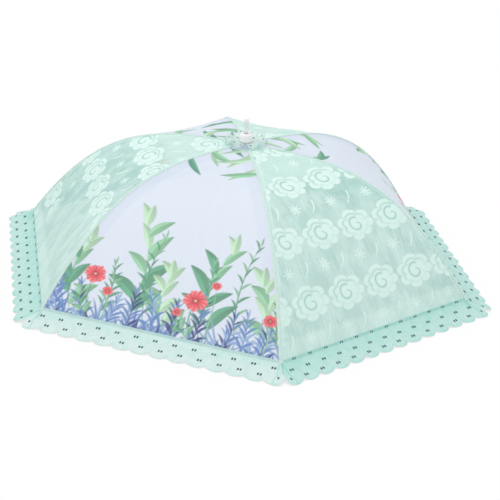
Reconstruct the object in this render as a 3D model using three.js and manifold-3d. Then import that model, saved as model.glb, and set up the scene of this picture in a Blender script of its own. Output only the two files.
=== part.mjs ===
// A pop-up food cover: a hexagonal dome of printed and lace gores on six sprung ribs, with a scalloped trim.
// Pulling the tab lifts the runner, whose struts swing the ribs out from the crown until the dome is taut.
// Millimetres, +Z up. The origin is on the table under the crown's middle, and the first rib points to -Y.
import * as THREE from "three";
import { mergeVertices } from "three/addons/utils/BufferGeometryUtils.js";
import Module from "manifold-3d";

const wasm = await Module();
wasm.setup();

// Frame: the line that a rib's wire follows, from its hinge pin on the crown to the hem and on to its foot
const ribCount = 6;
const pinHeight = 190; // hinge pins of the ribs, above the table
const pinCircleRadius = 11; // hinge pins, from the axis
const hemRadius = 350; // the wire at the hem, from the axis
const hemHeight = 20; // the wire at the hem, above the table
const crownHandleRadius = 158; // how far out the rib leaves the crown nearly level
const crownHandleLift = 3; // how much it climbs by then
const shoulderRadius = 242; // where its shoulder would come to a corner
const shoulderHeight = 173;

// Ribs, struts and their rivets
const wireRadius = 1.25;
const wireStart = 7; // the round wire starts this far out of the pin, past the hub
const plateThickness = 2; // of the ribs' flattened inner ends and the struts' eyes
const eyeRadius = 2.4;
const lugRadius = 2.2;
const webRadius = 1.6; // half the depth of a plate between its eyes
const crankLength = 16; // crown pin to rivet, and rivet to runner pin
const crankDroop = THREE.MathUtils.degToRad(15.5); // below the level, with the cover open
const ringWireRadius = 0.8;
const eyeClearance = 0.35; // round the ring wires and the rivets
const plateClearance = 0.35; // beside the plates, in slots and forks
const cheekThickness = 1;
const yokeNear = 6; // the fork's solid yoke, from the rivet
const yokeFar = 9;
const rivetRadius = 0.9;
const rivetHeadRadius = 1.7;
const rivetHeadThickness = 0.6;
const rivetHeadGap = 0.15;

// Crown hub, cap and runner
const hubRadius = 14.5;
const hubBoreRadius = 4.8;
const skirtRadius = 6; // the tube under the hub that the runner climbs
const skirtLength = 6;
const slotInnerRadius = 8.2;
const slotHeadroom = 0.35; // over the eyes in their slots
const toothDrop = 3.4; // a hub's teeth past its pins, away from its flange
const flangeThickness = 2;
const flangeChamfer = 0.5;
const ringGrooveClearance = 0.35;
const spigotRadius = 6.2;
const spigotHeight = 7.2;
const seatGap = 0.3; // between pieces that are clamped or glued on each other
const capRadius = 9.2;
const capHeight = 12;
const capRoundRadius = 3;
const runnerBoreRadius = 6.4;
const runnerSeatRadius = 4.7; // hole in the runner's floor for the stem
const stemRadius = 4.4;
const stemBoreRadius = 3;
const stemFlangeRadius = 6.5;
const stemFlangeThickness = 1.6;
const stemTopDrop = 0.6; // the stem's end below the cap's top
const stemLatchRadius = 4.6; // the bead that holds the stem up
const stemLatchHeight = 1.2;

// Pull tab: a ribbon loop sewn to a plug
const tabWidth = 7.6;
const tabThickness = 4;
const tabHeight = 27; // above the stem
const ribbonThickness = 1.2;
const tabPlugRadius = 2.6;
const tabPlugLength = 6;

// Fabric
const fabricThickness = 0.8;
const fabricLift = 2.2; // the gores' undersides over the wire's line
const goreHoleRadius = 8; // corners of the hole round the spigot
const plateauRadius = 17.2; // corners of the level part on the hub's flange
const goreLandingShare = 0.06; // where along the rib's line the gores come down on it
const seamGap = 0.4;
const goreSag = 4; // how far a gore's middle sinks between its ribs
const trimGap = 0.35; // hem to trim, along the slope
const trimWidth = 47;
const trimDrop = 20.6; // height that a trim loses on its way out to the table
const trimMitreGap = 0.6;
const trimEndCut = 9; // how far short of the mitre a trim's scallops end, so that its ends are blunt
const scallopCount = 14;
const scallopDepth = 9;
const rosetteRadius = 32;
const rosetteInnerRadius = 7.2;
const rosetteFlatRadius = 11;
const rosetteThickness = 1;
const rosetteWaveCount = 9;
const rosetteWaveHeight = 4.6;
const rosetteFall = 1.6; // how much lower the ruffle's edge hangs than its flat middle

// Lower ends of the ribs
const wireEnd = 19; // past the hem
const pocketStart = 5;
const pocketEnd = 12.6;
const pocketRadius = 2.7;
const footStart = 13; // where the foot's collar starts, past the hem
const footRadius = 4;
const footFlatDepth = 1; // cut off the ball, so that it stands flat
const collarRadius = 2.7;
const wireFitGap = 0.3;

// Facet counts
const roundSides = 24;
const smallSides = 10;
const wireSides = 6;
const wireSteps = 20;
const arcSteps = 4;
const goreRows = 12;
const goreColumns = 4;
const rosetteRings = 4;
const rosetteStepsPerWave = 7;
const cutOverrun = 2; // how far a cutting shape runs past what it cuts
const weldDistance = 1e-4; // vertices closer than this are one

// Places that follow from these sizes
const sectorAngle = (2 * Math.PI) / ribCount;
const cosHalfSector = Math.cos(sectorAngle / 2);
const firstRibAngle = -Math.PI / 2;
const crownPin = new THREE.Vector2(pinCircleRadius, pinHeight);
const rivetPin = new THREE.Vector2(Math.cos(crankDroop), -Math.sin(crankDroop))
  .multiplyScalar(crankLength).add(crownPin);
const runnerPin = new THREE.Vector2(pinCircleRadius, 2 * rivetPin.y - crownPin.y);
const pinHoleRadius = ringWireRadius + eyeClearance;
const rivetHoleRadius = rivetRadius + eyeClearance;
const slotWidth = plateThickness + 2 * plateClearance;
const forkWidth = slotWidth + 2 * cheekThickness;
const flangeUnderside = pinHeight + eyeRadius + slotHeadroom;
const flangeTop = flangeUnderside + flangeThickness;
const plateauHeight = flangeTop + seatGap;
const rosetteHeight = plateauHeight + fabricThickness + seatGap;
const capBottom = rosetteHeight + rosetteThickness + seatGap;
const capTop = capBottom + capHeight;
const spigotTop = flangeTop + spigotHeight;
const stemTop = capTop - stemTopDrop;
const runnerFloorTop = runnerPin.y - toothDrop;
const runnerFloorBottom = runnerFloorTop - flangeThickness;

const ribCurve = new THREE.CubicBezierCurve(
  crownPin,
  new THREE.Vector2(crownHandleRadius, pinHeight + crownHandleLift),
  new THREE.Vector2(shoulderRadius, shoulderHeight),
  new THREE.Vector2(hemRadius, hemHeight),
);
const hemDirection = ribCurve.getTangent(1);

// Solids and meshes

// A closed geometry as a solid that can be joined and cut.
function solidOf(geometry) {
  const bare = geometry.clone();
  bare.deleteAttribute("normal");
  bare.deleteAttribute("uv");
  const merged = mergeVertices(bare, weldDistance);
  return new wasm.Manifold(new wasm.Mesh({
    numProp: 3,
    vertProperties: merged.attributes.position.array,
    triVerts: new Uint32Array(merged.index.array),
  }));
}

// A solid's surface as a geometry for a mesh.
function geometryOf(solid) {
  const mesh = solid.getMesh();
  const geometry = new THREE.BufferGeometry();
  geometry.setAttribute("position", new THREE.BufferAttribute(mesh.vertProperties, 3));
  geometry.setIndex(new THREE.BufferAttribute(mesh.triVerts, 1));
  geometry.computeVertexNormals();
  return geometry;
}

function joined(solids) {
  return solids.reduce((sum, solid) => sum.add(solid));
}

// A surface turned round the axis from a closed outline of [radius, height] pairs, anticlockwise.
function turned(outline, sides) {
  const points = [...outline, outline[0]].map(([radius, height]) => new THREE.Vector2(radius, height));
  return solidOf(new THREE.LatheGeometry(points, sides).rotateX(Math.PI / 2));
}

// A side view drawn in radius and height, as a plate centred on the radial plane.
function sidePlate(shape, thickness) {
  const geometry = new THREE.ExtrudeGeometry(shape, {
    depth: thickness,
    bevelEnabled: false,
    curveSegments: arcSteps,
  });
  geometry.translate(0, 0, -thickness / 2).rotateX(Math.PI / 2);
  return solidOf(geometry);
}

// A plate that spans two round ends in the radial plane.
function linkPlate(from, fromRadius, to, toRadius, thickness) {
  const span = to.clone().sub(from);
  const heading = span.angle();
  const lean = Math.acos((fromRadius - toRadius) / span.length());
  const shape = new THREE.Shape();
  shape.absarc(from.x, from.y, fromRadius, heading + lean, heading - lean + 2 * Math.PI, false);
  shape.absarc(to.x, to.y, toRadius, heading - lean, heading + lean, false);
  return sidePlate(shape, thickness);
}

// A round pin across the radial plane.
function crossPin(at, radius, length) {
  const shape = new THREE.Shape().absarc(at.x, at.y, radius, 0, 2 * Math.PI, false);
  return sidePlate(shape, length);
}

// A closed surface made of rows of points: each row is a loop, and the rows form a skin that the first and
// last rows close.
function loftedLoops(loops) {
  const size = loops[0].length;
  const index = [];
  for (let row = 0; row + 1 < loops.length; row += 1) {
    for (let k = 0; k < size; k += 1) {
      const here = row * size + k;
      const next = row * size + ((k + 1) % size);
      index.push(here, next, next + size, here, next + size, here + size);
    }
  }
  const last = (loops.length - 1) * size;
  for (let k = 0; k + 3 < size; k += 2) {
    const far = size - 1 - k / 2;
    const near = k / 2;
    index.push(near, far, far - 1, near, far - 1, near + 1);
    index.push(last + near, last + far - 1, last + far, last + near, last + near + 1, last + far - 1);
  }
  const geometry = new THREE.BufferGeometry();
  geometry.setAttribute("position", new THREE.Float32BufferAttribute(loops.flat(2), 3));
  geometry.setIndex(index);
  return geometry;
}

// Crown

// The hub's teeth and ring groove, from the bore's outside to the rim: heights are counted from the pins,
// and up is 1 where the flange is above the teeth and -1 where it is below.
function hubRim(pin, up, flangeEdge) {
  const grooveFloor = pinCircleRadius - ringWireRadius - ringGrooveClearance;
  const groove = ringWireRadius + ringGrooveClearance;
  const rim = [
    [hubRadius, -toothDrop],
    [hubRadius, -groove],
    [grooveFloor, -groove],
    [grooveFloor, groove],
    [hubRadius, groove],
    [hubRadius, flangeEdge - flangeChamfer],
    [hubRadius - flangeChamfer, flangeEdge],
  ];
  return rim.map(([radius, height]) => [radius, pin + up * height]);
}

// Slots for the plates, from the teeth's open side up to the eyes' headroom.
function plateSlots(pin, up) {
  const reach = hubRadius + cutOverrun - slotInnerRadius;
  const open = toothDrop + cutOverrun;
  const head = eyeRadius + slotHeadroom;
  const geometry = new THREE.BoxGeometry(reach, slotWidth, open + head);
  geometry.translate(slotInnerRadius + reach / 2, 0, pin + (up * (head - open)) / 2);
  const slots = [];
  for (let k = 0; k < ribCount; k += 1) {
    slots.push(solidOf(geometry.clone().rotateZ(firstRibAngle + k * sectorAngle)));
  }
  return joined(slots);
}

function crownHub() {
  const outline = [
    [hubBoreRadius, pinHeight - toothDrop - skirtLength],
    [skirtRadius, pinHeight - toothDrop - skirtLength],
    [skirtRadius, pinHeight - toothDrop],
    ...hubRim(pinHeight, 1, flangeTop - pinHeight),
    [spigotRadius, flangeTop],
    [spigotRadius, spigotTop],
    [hubBoreRadius, spigotTop],
  ];
  return turned(outline, roundSides).subtract(plateSlots(pinHeight, 1));
}

function crownCap() {
  const shoulder = [];
  for (let k = 0; k <= arcSteps; k += 1) {
    const turn = (k / arcSteps) * (Math.PI / 2);
    shoulder.push([
      capRadius - capRoundRadius + capRoundRadius * Math.cos(turn),
      capTop - capRoundRadius + capRoundRadius * Math.sin(turn),
    ]);
  }
  const socketRadius = spigotRadius + seatGap;
  const socketTop = spigotTop + seatGap;
  return turned([
    [socketRadius, capBottom],
    [capRadius, capBottom],
    ...shoulder,
    [hubBoreRadius, capTop],
    [hubBoreRadius, socketTop],
    [socketRadius, socketTop],
  ], roundSides);
}

function hingeRing(height) {
  const geometry = new THREE.TorusGeometry(pinCircleRadius, ringWireRadius, wireSides, roundSides);
  return solidOf(geometry.translate(0, 0, height));
}

// A ring of lace that lies flat under the cap and breaks into waves towards its edge.
function rosette() {
  const steps = rosetteWaveCount * rosetteStepsPerWave;
  const loops = [];
  for (let step = 0; step < steps; step += 1) {
    const angle = (step / steps) * 2 * Math.PI;
    const wave = (1 - Math.cos(rosetteWaveCount * angle)) / 2;
    const pointAt = (radius, height) => [radius * Math.cos(angle), radius * Math.sin(angle), height];
    const under = [pointAt(rosetteInnerRadius, rosetteHeight)];
    for (let ring = 0; ring <= rosetteRings; ring += 1) {
      const out = ring / rosetteRings;
      const radius = THREE.MathUtils.lerp(rosetteFlatRadius, rosetteRadius, out);
      const fall = rosetteFall * Math.max(0, (radius - plateauRadius) / (rosetteRadius - plateauRadius));
      under.push(pointAt(radius, rosetteHeight + out * rosetteWaveHeight * wave - fall));
    }
    const over = under.map(([x, y, z]) => [x, y, z + rosetteThickness]).reverse();
    loops.push([...under, ...over]);
  }
  return closedRing(loops);
}

// Loops set round an axis, the last joined to the first.
function closedRing(loops) {
  const size = loops[0].length;
  const index = [];
  loops.forEach((loop, row) => {
    const thisRow = row * size;
    const nextRow = ((row + 1) % loops.length) * size;
    for (let k = 0; k < size; k += 1) {
      const next = (k + 1) % size;
      index.push(thisRow + k, nextRow + k, nextRow + next, thisRow + k, nextRow + next, thisRow + next);
    }
  });
  const geometry = new THREE.BufferGeometry();
  geometry.setAttribute("position", new THREE.Float32BufferAttribute(loops.flat(2), 3));
  geometry.setIndex(index);
  return solidOf(geometry);
}

// Runner

function runner() {
  const rim = hubRim(runnerPin.y, -1, runnerPin.y - runnerFloorBottom).reverse();
  const outline = [
    [runnerSeatRadius, runnerFloorBottom],
    ...rim,
    [runnerBoreRadius, runnerPin.y + toothDrop],
    [runnerBoreRadius, runnerFloorTop],
    [runnerSeatRadius, runnerFloorTop],
  ];
  return turned(outline, roundSides).subtract(plateSlots(runnerPin.y, -1));
}

function runnerStem() {
  const flangeUp = runnerFloorBottom - seatGap;
  const flangeDown = flangeUp - stemFlangeThickness;
  return turned([
    [stemBoreRadius, flangeDown],
    [stemFlangeRadius, flangeDown],
    [stemFlangeRadius, flangeUp],
    [stemRadius, flangeUp],
    [stemRadius, stemTop - stemLatchHeight],
    [stemLatchRadius, stemTop - stemLatchHeight / 2],
    [stemRadius, stemTop],
    [stemBoreRadius, stemTop],
  ], roundSides);
}

// The tab's loop stands across the first rib, and its plug sits in the stem's bore.
function pullTab() {
  const bottom = stemTop + seatGap;
  const top = bottom + tabHeight;
  const outerRadius = tabThickness / 2;
  const innerRadius = outerRadius - ribbonThickness;
  const loop = new THREE.Shape();
  loop.moveTo(-outerRadius, bottom);
  loop.lineTo(outerRadius, bottom);
  loop.absarc(0, top - outerRadius, outerRadius, 0, Math.PI, false);
  const eye = new THREE.Path();
  eye.moveTo(-innerRadius, bottom + ribbonThickness);
  eye.lineTo(innerRadius, bottom + ribbonThickness);
  eye.absarc(0, top - outerRadius, innerRadius, 0, Math.PI, false);
  loop.holes.push(eye);
  const plug = new THREE.CylinderGeometry(tabPlugRadius, tabPlugRadius, tabPlugLength + seatGap, smallSides);
  plug.rotateX(Math.PI / 2).translate(0, 0, bottom - (tabPlugLength + seatGap) / 2 + ribbonThickness / 2);
  const strap = geometryOf(sidePlate(loop, tabWidth)).rotateZ(firstRibAngle);
  return solidOf(strap).add(solidOf(plug));
}

// Ribs and struts

// The wire's centre line in the radial plane: the sprung curve, and past the hem a straight end.
class WireLine extends THREE.Curve {
  constructor() {
    super();
    this.curved = ribCurve.getLength();
    this.startShare = wireStart / this.curved;
    this.total = this.curved + wireEnd;
  }

  getPoint(share) {
    const along = THREE.MathUtils.lerp(this.startShare * this.curved, this.total, share);
    const point = along < this.curved
      ? ribCurve.getPointAt(along / this.curved)
      : pastHem(along - this.curved);
    return new THREE.Vector3(point.x, 0, point.y);
  }
}

function pastHem(distance) {
  return ribCurve.getPoint(1).addScaledVector(hemDirection, distance);
}

function rib() {
  const section = new THREE.Shape();
  for (let k = 0; k < wireSides; k += 1) {
    const turn = (k / wireSides) * 2 * Math.PI;
    const [x, y] = [wireRadius * Math.cos(turn), wireRadius * Math.sin(turn)];
    if (k === 0) section.moveTo(x, y);
    else section.lineTo(x, y);
  }
  section.closePath();
  const wire = new THREE.ExtrudeGeometry(section, {
    steps: wireSteps,
    extrudePath: new WireLine(),
    bevelEnabled: false,
  });
  const overLug = ribCurve.getPointAt((rivetPin.x - crownPin.x) / ribCurve.getLength());
  const blank = joined([
    solidOf(wire),
    linkPlate(crownPin, eyeRadius, overLug, webRadius, plateThickness),
    linkPlate(overLug, webRadius, rivetPin, lugRadius, plateThickness),
  ]);
  return blank
    .subtract(crossPin(crownPin, pinHoleRadius, plateThickness + cutOverrun))
    .subtract(crossPin(rivetPin, rivetHoleRadius, plateThickness + cutOverrun));
}

function strut() {
  const towardsRunner = runnerPin.clone().sub(rivetPin).normalize();
  const nearYoke = rivetPin.clone().addScaledVector(towardsRunner, yokeNear);
  const farYoke = rivetPin.clone().addScaledVector(towardsRunner, yokeFar);
  const fork = linkPlate(rivetPin, lugRadius, farYoke, webRadius, forkWidth);
  const acrossStrut = new THREE.Vector2(-towardsRunner.y, towardsRunner.x);
  const throatTop = acrossStrut.multiplyScalar(lugRadius + cutOverrun);
  const throatBack = rivetPin.clone().addScaledVector(towardsRunner, -lugRadius - cutOverrun);
  const corners = [
    throatBack.clone().add(throatTop),
    nearYoke.clone().add(throatTop),
    nearYoke.clone().sub(throatTop),
    throatBack.clone().sub(throatTop),
  ];
  const throat = sidePlate(new THREE.Shape(corners), slotWidth);
  return fork.subtract(throat)
    .add(linkPlate(runnerPin, eyeRadius, farYoke, webRadius, plateThickness))
    .subtract(crossPin(runnerPin, pinHoleRadius, plateThickness + cutOverrun))
    .subtract(crossPin(rivetPin, rivetHoleRadius, forkWidth + cutOverrun));
}

function rivet() {
  const headIn = forkWidth / 2 + rivetHeadGap;
  const head = 2 * (headIn + rivetHeadThickness);
  const between = crossPin(rivetPin, 2 * rivetHeadRadius, 2 * headIn);
  const heads = crossPin(rivetPin, rivetHeadRadius, head).subtract(between);
  return heads.add(crossPin(rivetPin, rivetRadius, head - rivetHeadThickness));
}

// A sleeve or plug on the wire's straight end, from an outline of [radius, distance past the hem] pairs.
function onWireEnd(outline) {
  const geometry = geometryOf(turned(outline, smallSides));
  const start = pastHem(0);
  const turn = Math.atan2(hemDirection.x, hemDirection.y);
  return solidOf(geometry.rotateY(turn).translate(start.x, 0, start.y));
}

function cornerPocket() {
  const inner = wireRadius + wireFitGap;
  return onWireEnd([
    [inner, pocketStart],
    [pocketRadius, pocketStart],
    [pocketRadius, pocketEnd],
    [inner, pocketEnd],
  ]);
}

// A moulded tip: a collar round the wire's end and a ball that is flat where it stands.
function ribFoot() {
  const centreHeight = footRadius - footFlatDepth;
  const ballDistance = (hemHeight - centreHeight) / -hemDirection.y;
  const centre = pastHem(ballDistance);
  const ball = new THREE.SphereGeometry(footRadius, smallSides, smallSides / 2 + 1).rotateX(Math.PI / 2);
  const collar = onWireEnd([
    [0, footStart],
    [collarRadius, footStart],
    [collarRadius, ballDistance],
    [0, ballDistance],
  ]);
  const socket = onWireEnd([
    [0, footStart - cutOverrun],
    [wireRadius + wireFitGap, footStart - cutOverrun],
    [wireRadius + wireFitGap, wireEnd + wireFitGap],
    [0, wireEnd + wireFitGap],
  ]);
  const below = new THREE.BoxGeometry(4 * footRadius, 4 * footRadius, 2 * footRadius);
  below.translate(centre.x, 0, -footRadius);
  const tip = solidOf(ball.translate(centre.x, 0, centre.y)).add(collar);
  return tip.subtract(socket).subtract(solidOf(below));
}

// Fabric

// The rib-side edge of a gore, seen from the side, as [radius, height] pairs at a lift over the wire's line.
function goreEdge(lift) {
  const over = lift - fabricLift;
  const edge = [
    [goreHoleRadius, plateauHeight + over],
    [plateauRadius, plateauHeight + over],
  ];
  for (let row = 0; row <= goreRows; row += 1) {
    const share = THREE.MathUtils.lerp(goreLandingShare, 1, row / goreRows);
    const point = ribCurve.getPointAt(share);
    const tangent = ribCurve.getTangentAt(share);
    edge.push([point.x - tangent.y * lift, point.y + tangent.x * lift]);
  }
  return edge;
}

// One row of a gore's skin: a chord between two ribs, whose middle sags along the given slope.
function goreChord([radius, height], sag, slope) {
  const half = radius * Math.sin(sectorAngle / 2) - seamGap / 2 / cosHalfSector;
  const steepness = Math.sqrt(1 - slope * slope);
  const row = [];
  for (let column = 0; column <= goreColumns; column += 1) {
    const across = (2 * column) / goreColumns - 1;
    const sink = sag * (1 - across * across);
    row.push([radius * cosHalfSector - sink * slope, across * half, height - sink * steepness]);
  }
  return row;
}

// A gore's middle lies along +X.
function gore() {
  const under = goreEdge(fabricLift);
  const over = goreEdge(fabricLift + fabricThickness);
  const loops = under.map((point, row) => {
    const outer = over[row];
    const share = Math.max(0, row - 2) / goreRows;
    const sag = goreSag * Math.sin(Math.PI * share);
    const slope = (outer[0] - point[0]) / fabricThickness;
    const inside = goreChord(point, sag, slope);
    const outside = goreChord(outer, sag, slope).reverse();
    return [...inside, ...outside];
  });
  return solidOf(loftedLoops(loops));
}

// A strip of lace along one side of the hexagon, drawn flat with its slope along -Y of the drawing.
function laceTrim() {
  const hem = goreEdge(fabricLift + fabricThickness).at(-1);
  const tilt = Math.asin(trimDrop / trimWidth);
  const topDistance = hem[0] * cosHalfSector + trimGap * Math.cos(tilt);
  const topHeight = hem[1] - trimGap * Math.sin(tilt);
  const halfAt = (down) => (topDistance + down * Math.cos(tilt)) * Math.tan(sectorAngle / 2) - trimMitreGap / 2;
  const rootLine = trimWidth - scallopDepth;
  const halfScallops = halfAt(rootLine) - trimEndCut;
  const pitch = (2 * halfScallops) / scallopCount;
  const rise = scallopDepth;
  const scallopRadius = (pitch * pitch / 4 + rise * rise) / (2 * rise);
  const sweep = Math.asin(Math.min(1, pitch / 2 / scallopRadius));
  const shape = new THREE.Shape();
  shape.moveTo(halfAt(0), 0);
  shape.lineTo(-halfAt(0), 0);
  for (let k = 0; k < scallopCount; k += 1) {
    const middle = (k + 0.5) * pitch - halfScallops;
    for (let step = k ? 1 : 0; step <= arcSteps; step += 1) {
      const turn = THREE.MathUtils.lerp(-sweep, sweep, step / arcSteps);
      const down = rootLine + rise - scallopRadius + scallopRadius * Math.cos(turn);
      shape.lineTo(middle + scallopRadius * Math.sin(turn), -down);
    }
  }
  const geometry = new THREE.ExtrudeGeometry(shape, { depth: fabricThickness, bevelEnabled: false });
  geometry.translate(0, 0, -fabricThickness);
  geometry.rotateX(tilt).rotateZ(Math.PI / 2).translate(topDistance, 0, topHeight);
  return solidOf(geometry);
}

// Finishes
const finishes = {
  plastic: new THREE.MeshStandardMaterial({ color: 0xeceef0, roughness: 0.35, metalness: 0 }),
  steel: new THREE.MeshStandardMaterial({ color: 0xb9bdc2, roughness: 0.3, metalness: 1 }),
  ribCoat: new THREE.MeshStandardMaterial({ color: 0xd7dbdc, roughness: 0.4, metalness: 0.6 }),
  print: new THREE.MeshStandardMaterial({ color: 0xdfe5f4, roughness: 0.85, metalness: 0 }),
  lace: new THREE.MeshStandardMaterial({ color: 0xb7e3d2, roughness: 0.8, metalness: 0 }),
  trim: new THREE.MeshStandardMaterial({ color: 0xc4ebdd, roughness: 0.8, metalness: 0 }),
  ribbon: new THREE.MeshStandardMaterial({ color: 0xf1f2f4, roughness: 0.6, metalness: 0 }),
};

function named(name, solid, finish) {
  const mesh = new THREE.Mesh(geometryOf(solid), finish.clone());
  mesh.name = name;
  return mesh;
}

const cover = new THREE.Group();
cover.add(
  named("crown_hub", crownHub(), finishes.plastic),
  named("crown_cap", crownCap(), finishes.plastic),
  named("crown_ring", hingeRing(crownPin.y), finishes.steel),
  named("rosette", rosette(), finishes.trim),
  named("runner", runner(), finishes.plastic),
  named("runner_ring", hingeRing(runnerPin.y), finishes.steel),
  named("runner_stem", runnerStem(), finishes.plastic),
  named("pull_tab", pullTab(), finishes.ribbon),
);

const ribSolid = rib();
const strutSolid = strut();
const rivetSolid = rivet();
const pocketSolid = cornerPocket();
const footSolid = ribFoot();
const goreSolid = gore();
const trimSolid = laceTrim();
for (let k = 0; k < ribCount; k += 1) {
  const spoke = new THREE.Group();
  spoke.rotation.z = firstRibAngle + k * sectorAngle;
  spoke.add(
    named(`rib_${k + 1}`, ribSolid, finishes.ribCoat),
    named(`strut_${k + 1}`, strutSolid, finishes.plastic),
    named(`rib_rivet_${k + 1}`, rivetSolid, finishes.steel),
    named(`corner_pocket_${k + 1}`, pocketSolid, finishes.trim),
    named(`rib_foot_${k + 1}`, footSolid, finishes.plastic),
  );
  const side = new THREE.Group();
  side.rotation.z = spoke.rotation.z + sectorAngle / 2;
  const pair = Math.floor(k / 2) + 1;
  const panel = k % 2 ? ["print", finishes.print] : ["lace", finishes.lace];
  side.add(
    named(`${panel[0]}_gore_${pair}`, goreSolid, panel[1]),
    named(`lace_trim_${k + 1}`, trimSolid, finishes.trim),
  );
  cover.add(spoke, side);
}

export default cover;
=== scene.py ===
import logging
import math
from dataclasses import dataclass, field
from enum import Enum
from functools import cached_property

import bpy
import numpy as np
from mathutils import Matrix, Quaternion, Vector


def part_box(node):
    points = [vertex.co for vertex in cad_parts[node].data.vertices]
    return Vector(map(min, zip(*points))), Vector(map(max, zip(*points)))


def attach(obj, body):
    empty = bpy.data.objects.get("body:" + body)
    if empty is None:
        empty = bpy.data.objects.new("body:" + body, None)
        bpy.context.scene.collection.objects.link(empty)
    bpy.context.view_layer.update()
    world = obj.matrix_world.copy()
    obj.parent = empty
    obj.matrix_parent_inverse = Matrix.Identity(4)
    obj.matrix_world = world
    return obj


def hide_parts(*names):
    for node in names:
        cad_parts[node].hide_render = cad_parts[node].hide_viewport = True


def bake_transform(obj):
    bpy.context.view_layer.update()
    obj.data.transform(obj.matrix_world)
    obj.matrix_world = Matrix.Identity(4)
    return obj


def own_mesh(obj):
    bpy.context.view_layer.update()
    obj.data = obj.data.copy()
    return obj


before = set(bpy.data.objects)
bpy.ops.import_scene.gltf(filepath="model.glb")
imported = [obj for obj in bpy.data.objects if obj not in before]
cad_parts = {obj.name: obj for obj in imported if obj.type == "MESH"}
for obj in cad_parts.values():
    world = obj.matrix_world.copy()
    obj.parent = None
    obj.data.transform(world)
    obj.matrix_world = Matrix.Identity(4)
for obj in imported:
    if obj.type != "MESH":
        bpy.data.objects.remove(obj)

LOG = logging.getLogger("scene")
MM = 0.001
TURN = 2 * math.pi
SECTOR = math.pi / 3
COS_HALF = math.cos(SECTOR / 2)
SIN_HALF = math.sin(SECTOR / 2)
RIBS = range(1, 7)

Array = np.ndarray
Pair = tuple[float, float]
Box = tuple[float, float, float, float]
Colour = tuple[float, float, float, float]
Material = bpy.types.Material
Piece = bpy.types.Object
Socket = bpy.types.NodeSocket


class Cloth(Enum):
    """The two cloths that the gores are cut from."""

    PRINT = "print"
    LACE = "lace"


def rgb(red: float, green: float, blue: float) -> Colour:
    """Turns a colour as seen on a screen into the linear colour that shaders use.

    Args:
        red, green, blue: The colour's parts, from 0 to 255.

    Returns:
        The linear colour with an alpha of one.
    """
    parts = [value / 255 for value in (red, green, blue)]
    linear = [p / 12.92 if p <= 0.04045 else ((p + 0.055) / 1.055) ** 2.4 for p in parts]
    return (*linear, 1.0)


def darker(colour: Colour, share: float) -> Colour:
    """Gives a colour with its parts multiplied by a share."""
    return (*(share * part for part in colour[:3]), 1.0)


def smooth(low: float, high: float, value: Array) -> Array:
    """Rises smoothly from zero at low to one at high, which may lie below low."""
    share = np.clip((value - low) / (high - low), 0, 1)
    return share * share * (3 - 2 * share)


def bell(value: Array, width: float) -> Array:
    """Gives one at zero, falling off smoothly over a width."""
    return np.exp(-((value / width) ** 2))


def soft_edge(inside: Array, blur: float) -> Array:
    """Turns distances inside an outline into a mask whose edge is as wide as the blur."""
    return np.clip(inside / blur + 0.5, 0, 1)


def rib_azimuth(rib: int) -> float:
    """Gives the direction in which a rib points, from +X, in radians."""
    return -math.pi / 2 + SECTOR * (rib - 1)


def gore_azimuth(gore: int) -> float:
    """Gives the direction of a gore's middle, from +X, in radians."""
    return rib_azimuth(gore) + SECTOR / 2


def turned(points: Array, azimuth: float) -> Array:
    """Turns points about the axis.

    Args:
        points: An array whose last dimension is x, y, z.
        azimuth: The turn, in radians.

    Returns:
        The turned points.
    """
    cos, sin = math.cos(azimuth), math.sin(azimuth)
    matrix = np.array([[cos, -sin, 0], [sin, cos, 0], [0, 0, 1]])
    return points @ matrix.T
def facing_up(first: Array, second: Array) -> Array:
    """Finds the unit directions square to two others that point upwards.

    Args:
        first, second: Directions, whose last dimension is x, y, z.

    Returns:
        The unit directions.
    """
    normals = np.cross(first, second)
    normals /= np.maximum(np.linalg.norm(normals, axis=-1, keepdims=True), 1e-12)
    normals[normals[..., 2] < 0] *= -1
    return normals


def placed(name: str, data: bpy.types.ID) -> Piece:
    """Makes an object and links it to the scene.

    Args:
        name: Its name.
        data: Its mesh, camera or lamp.

    Returns:
        The object.
    """
    piece = bpy.data.objects.new(name, data)
    bpy.context.scene.collection.objects.link(piece)
    return piece


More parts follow.
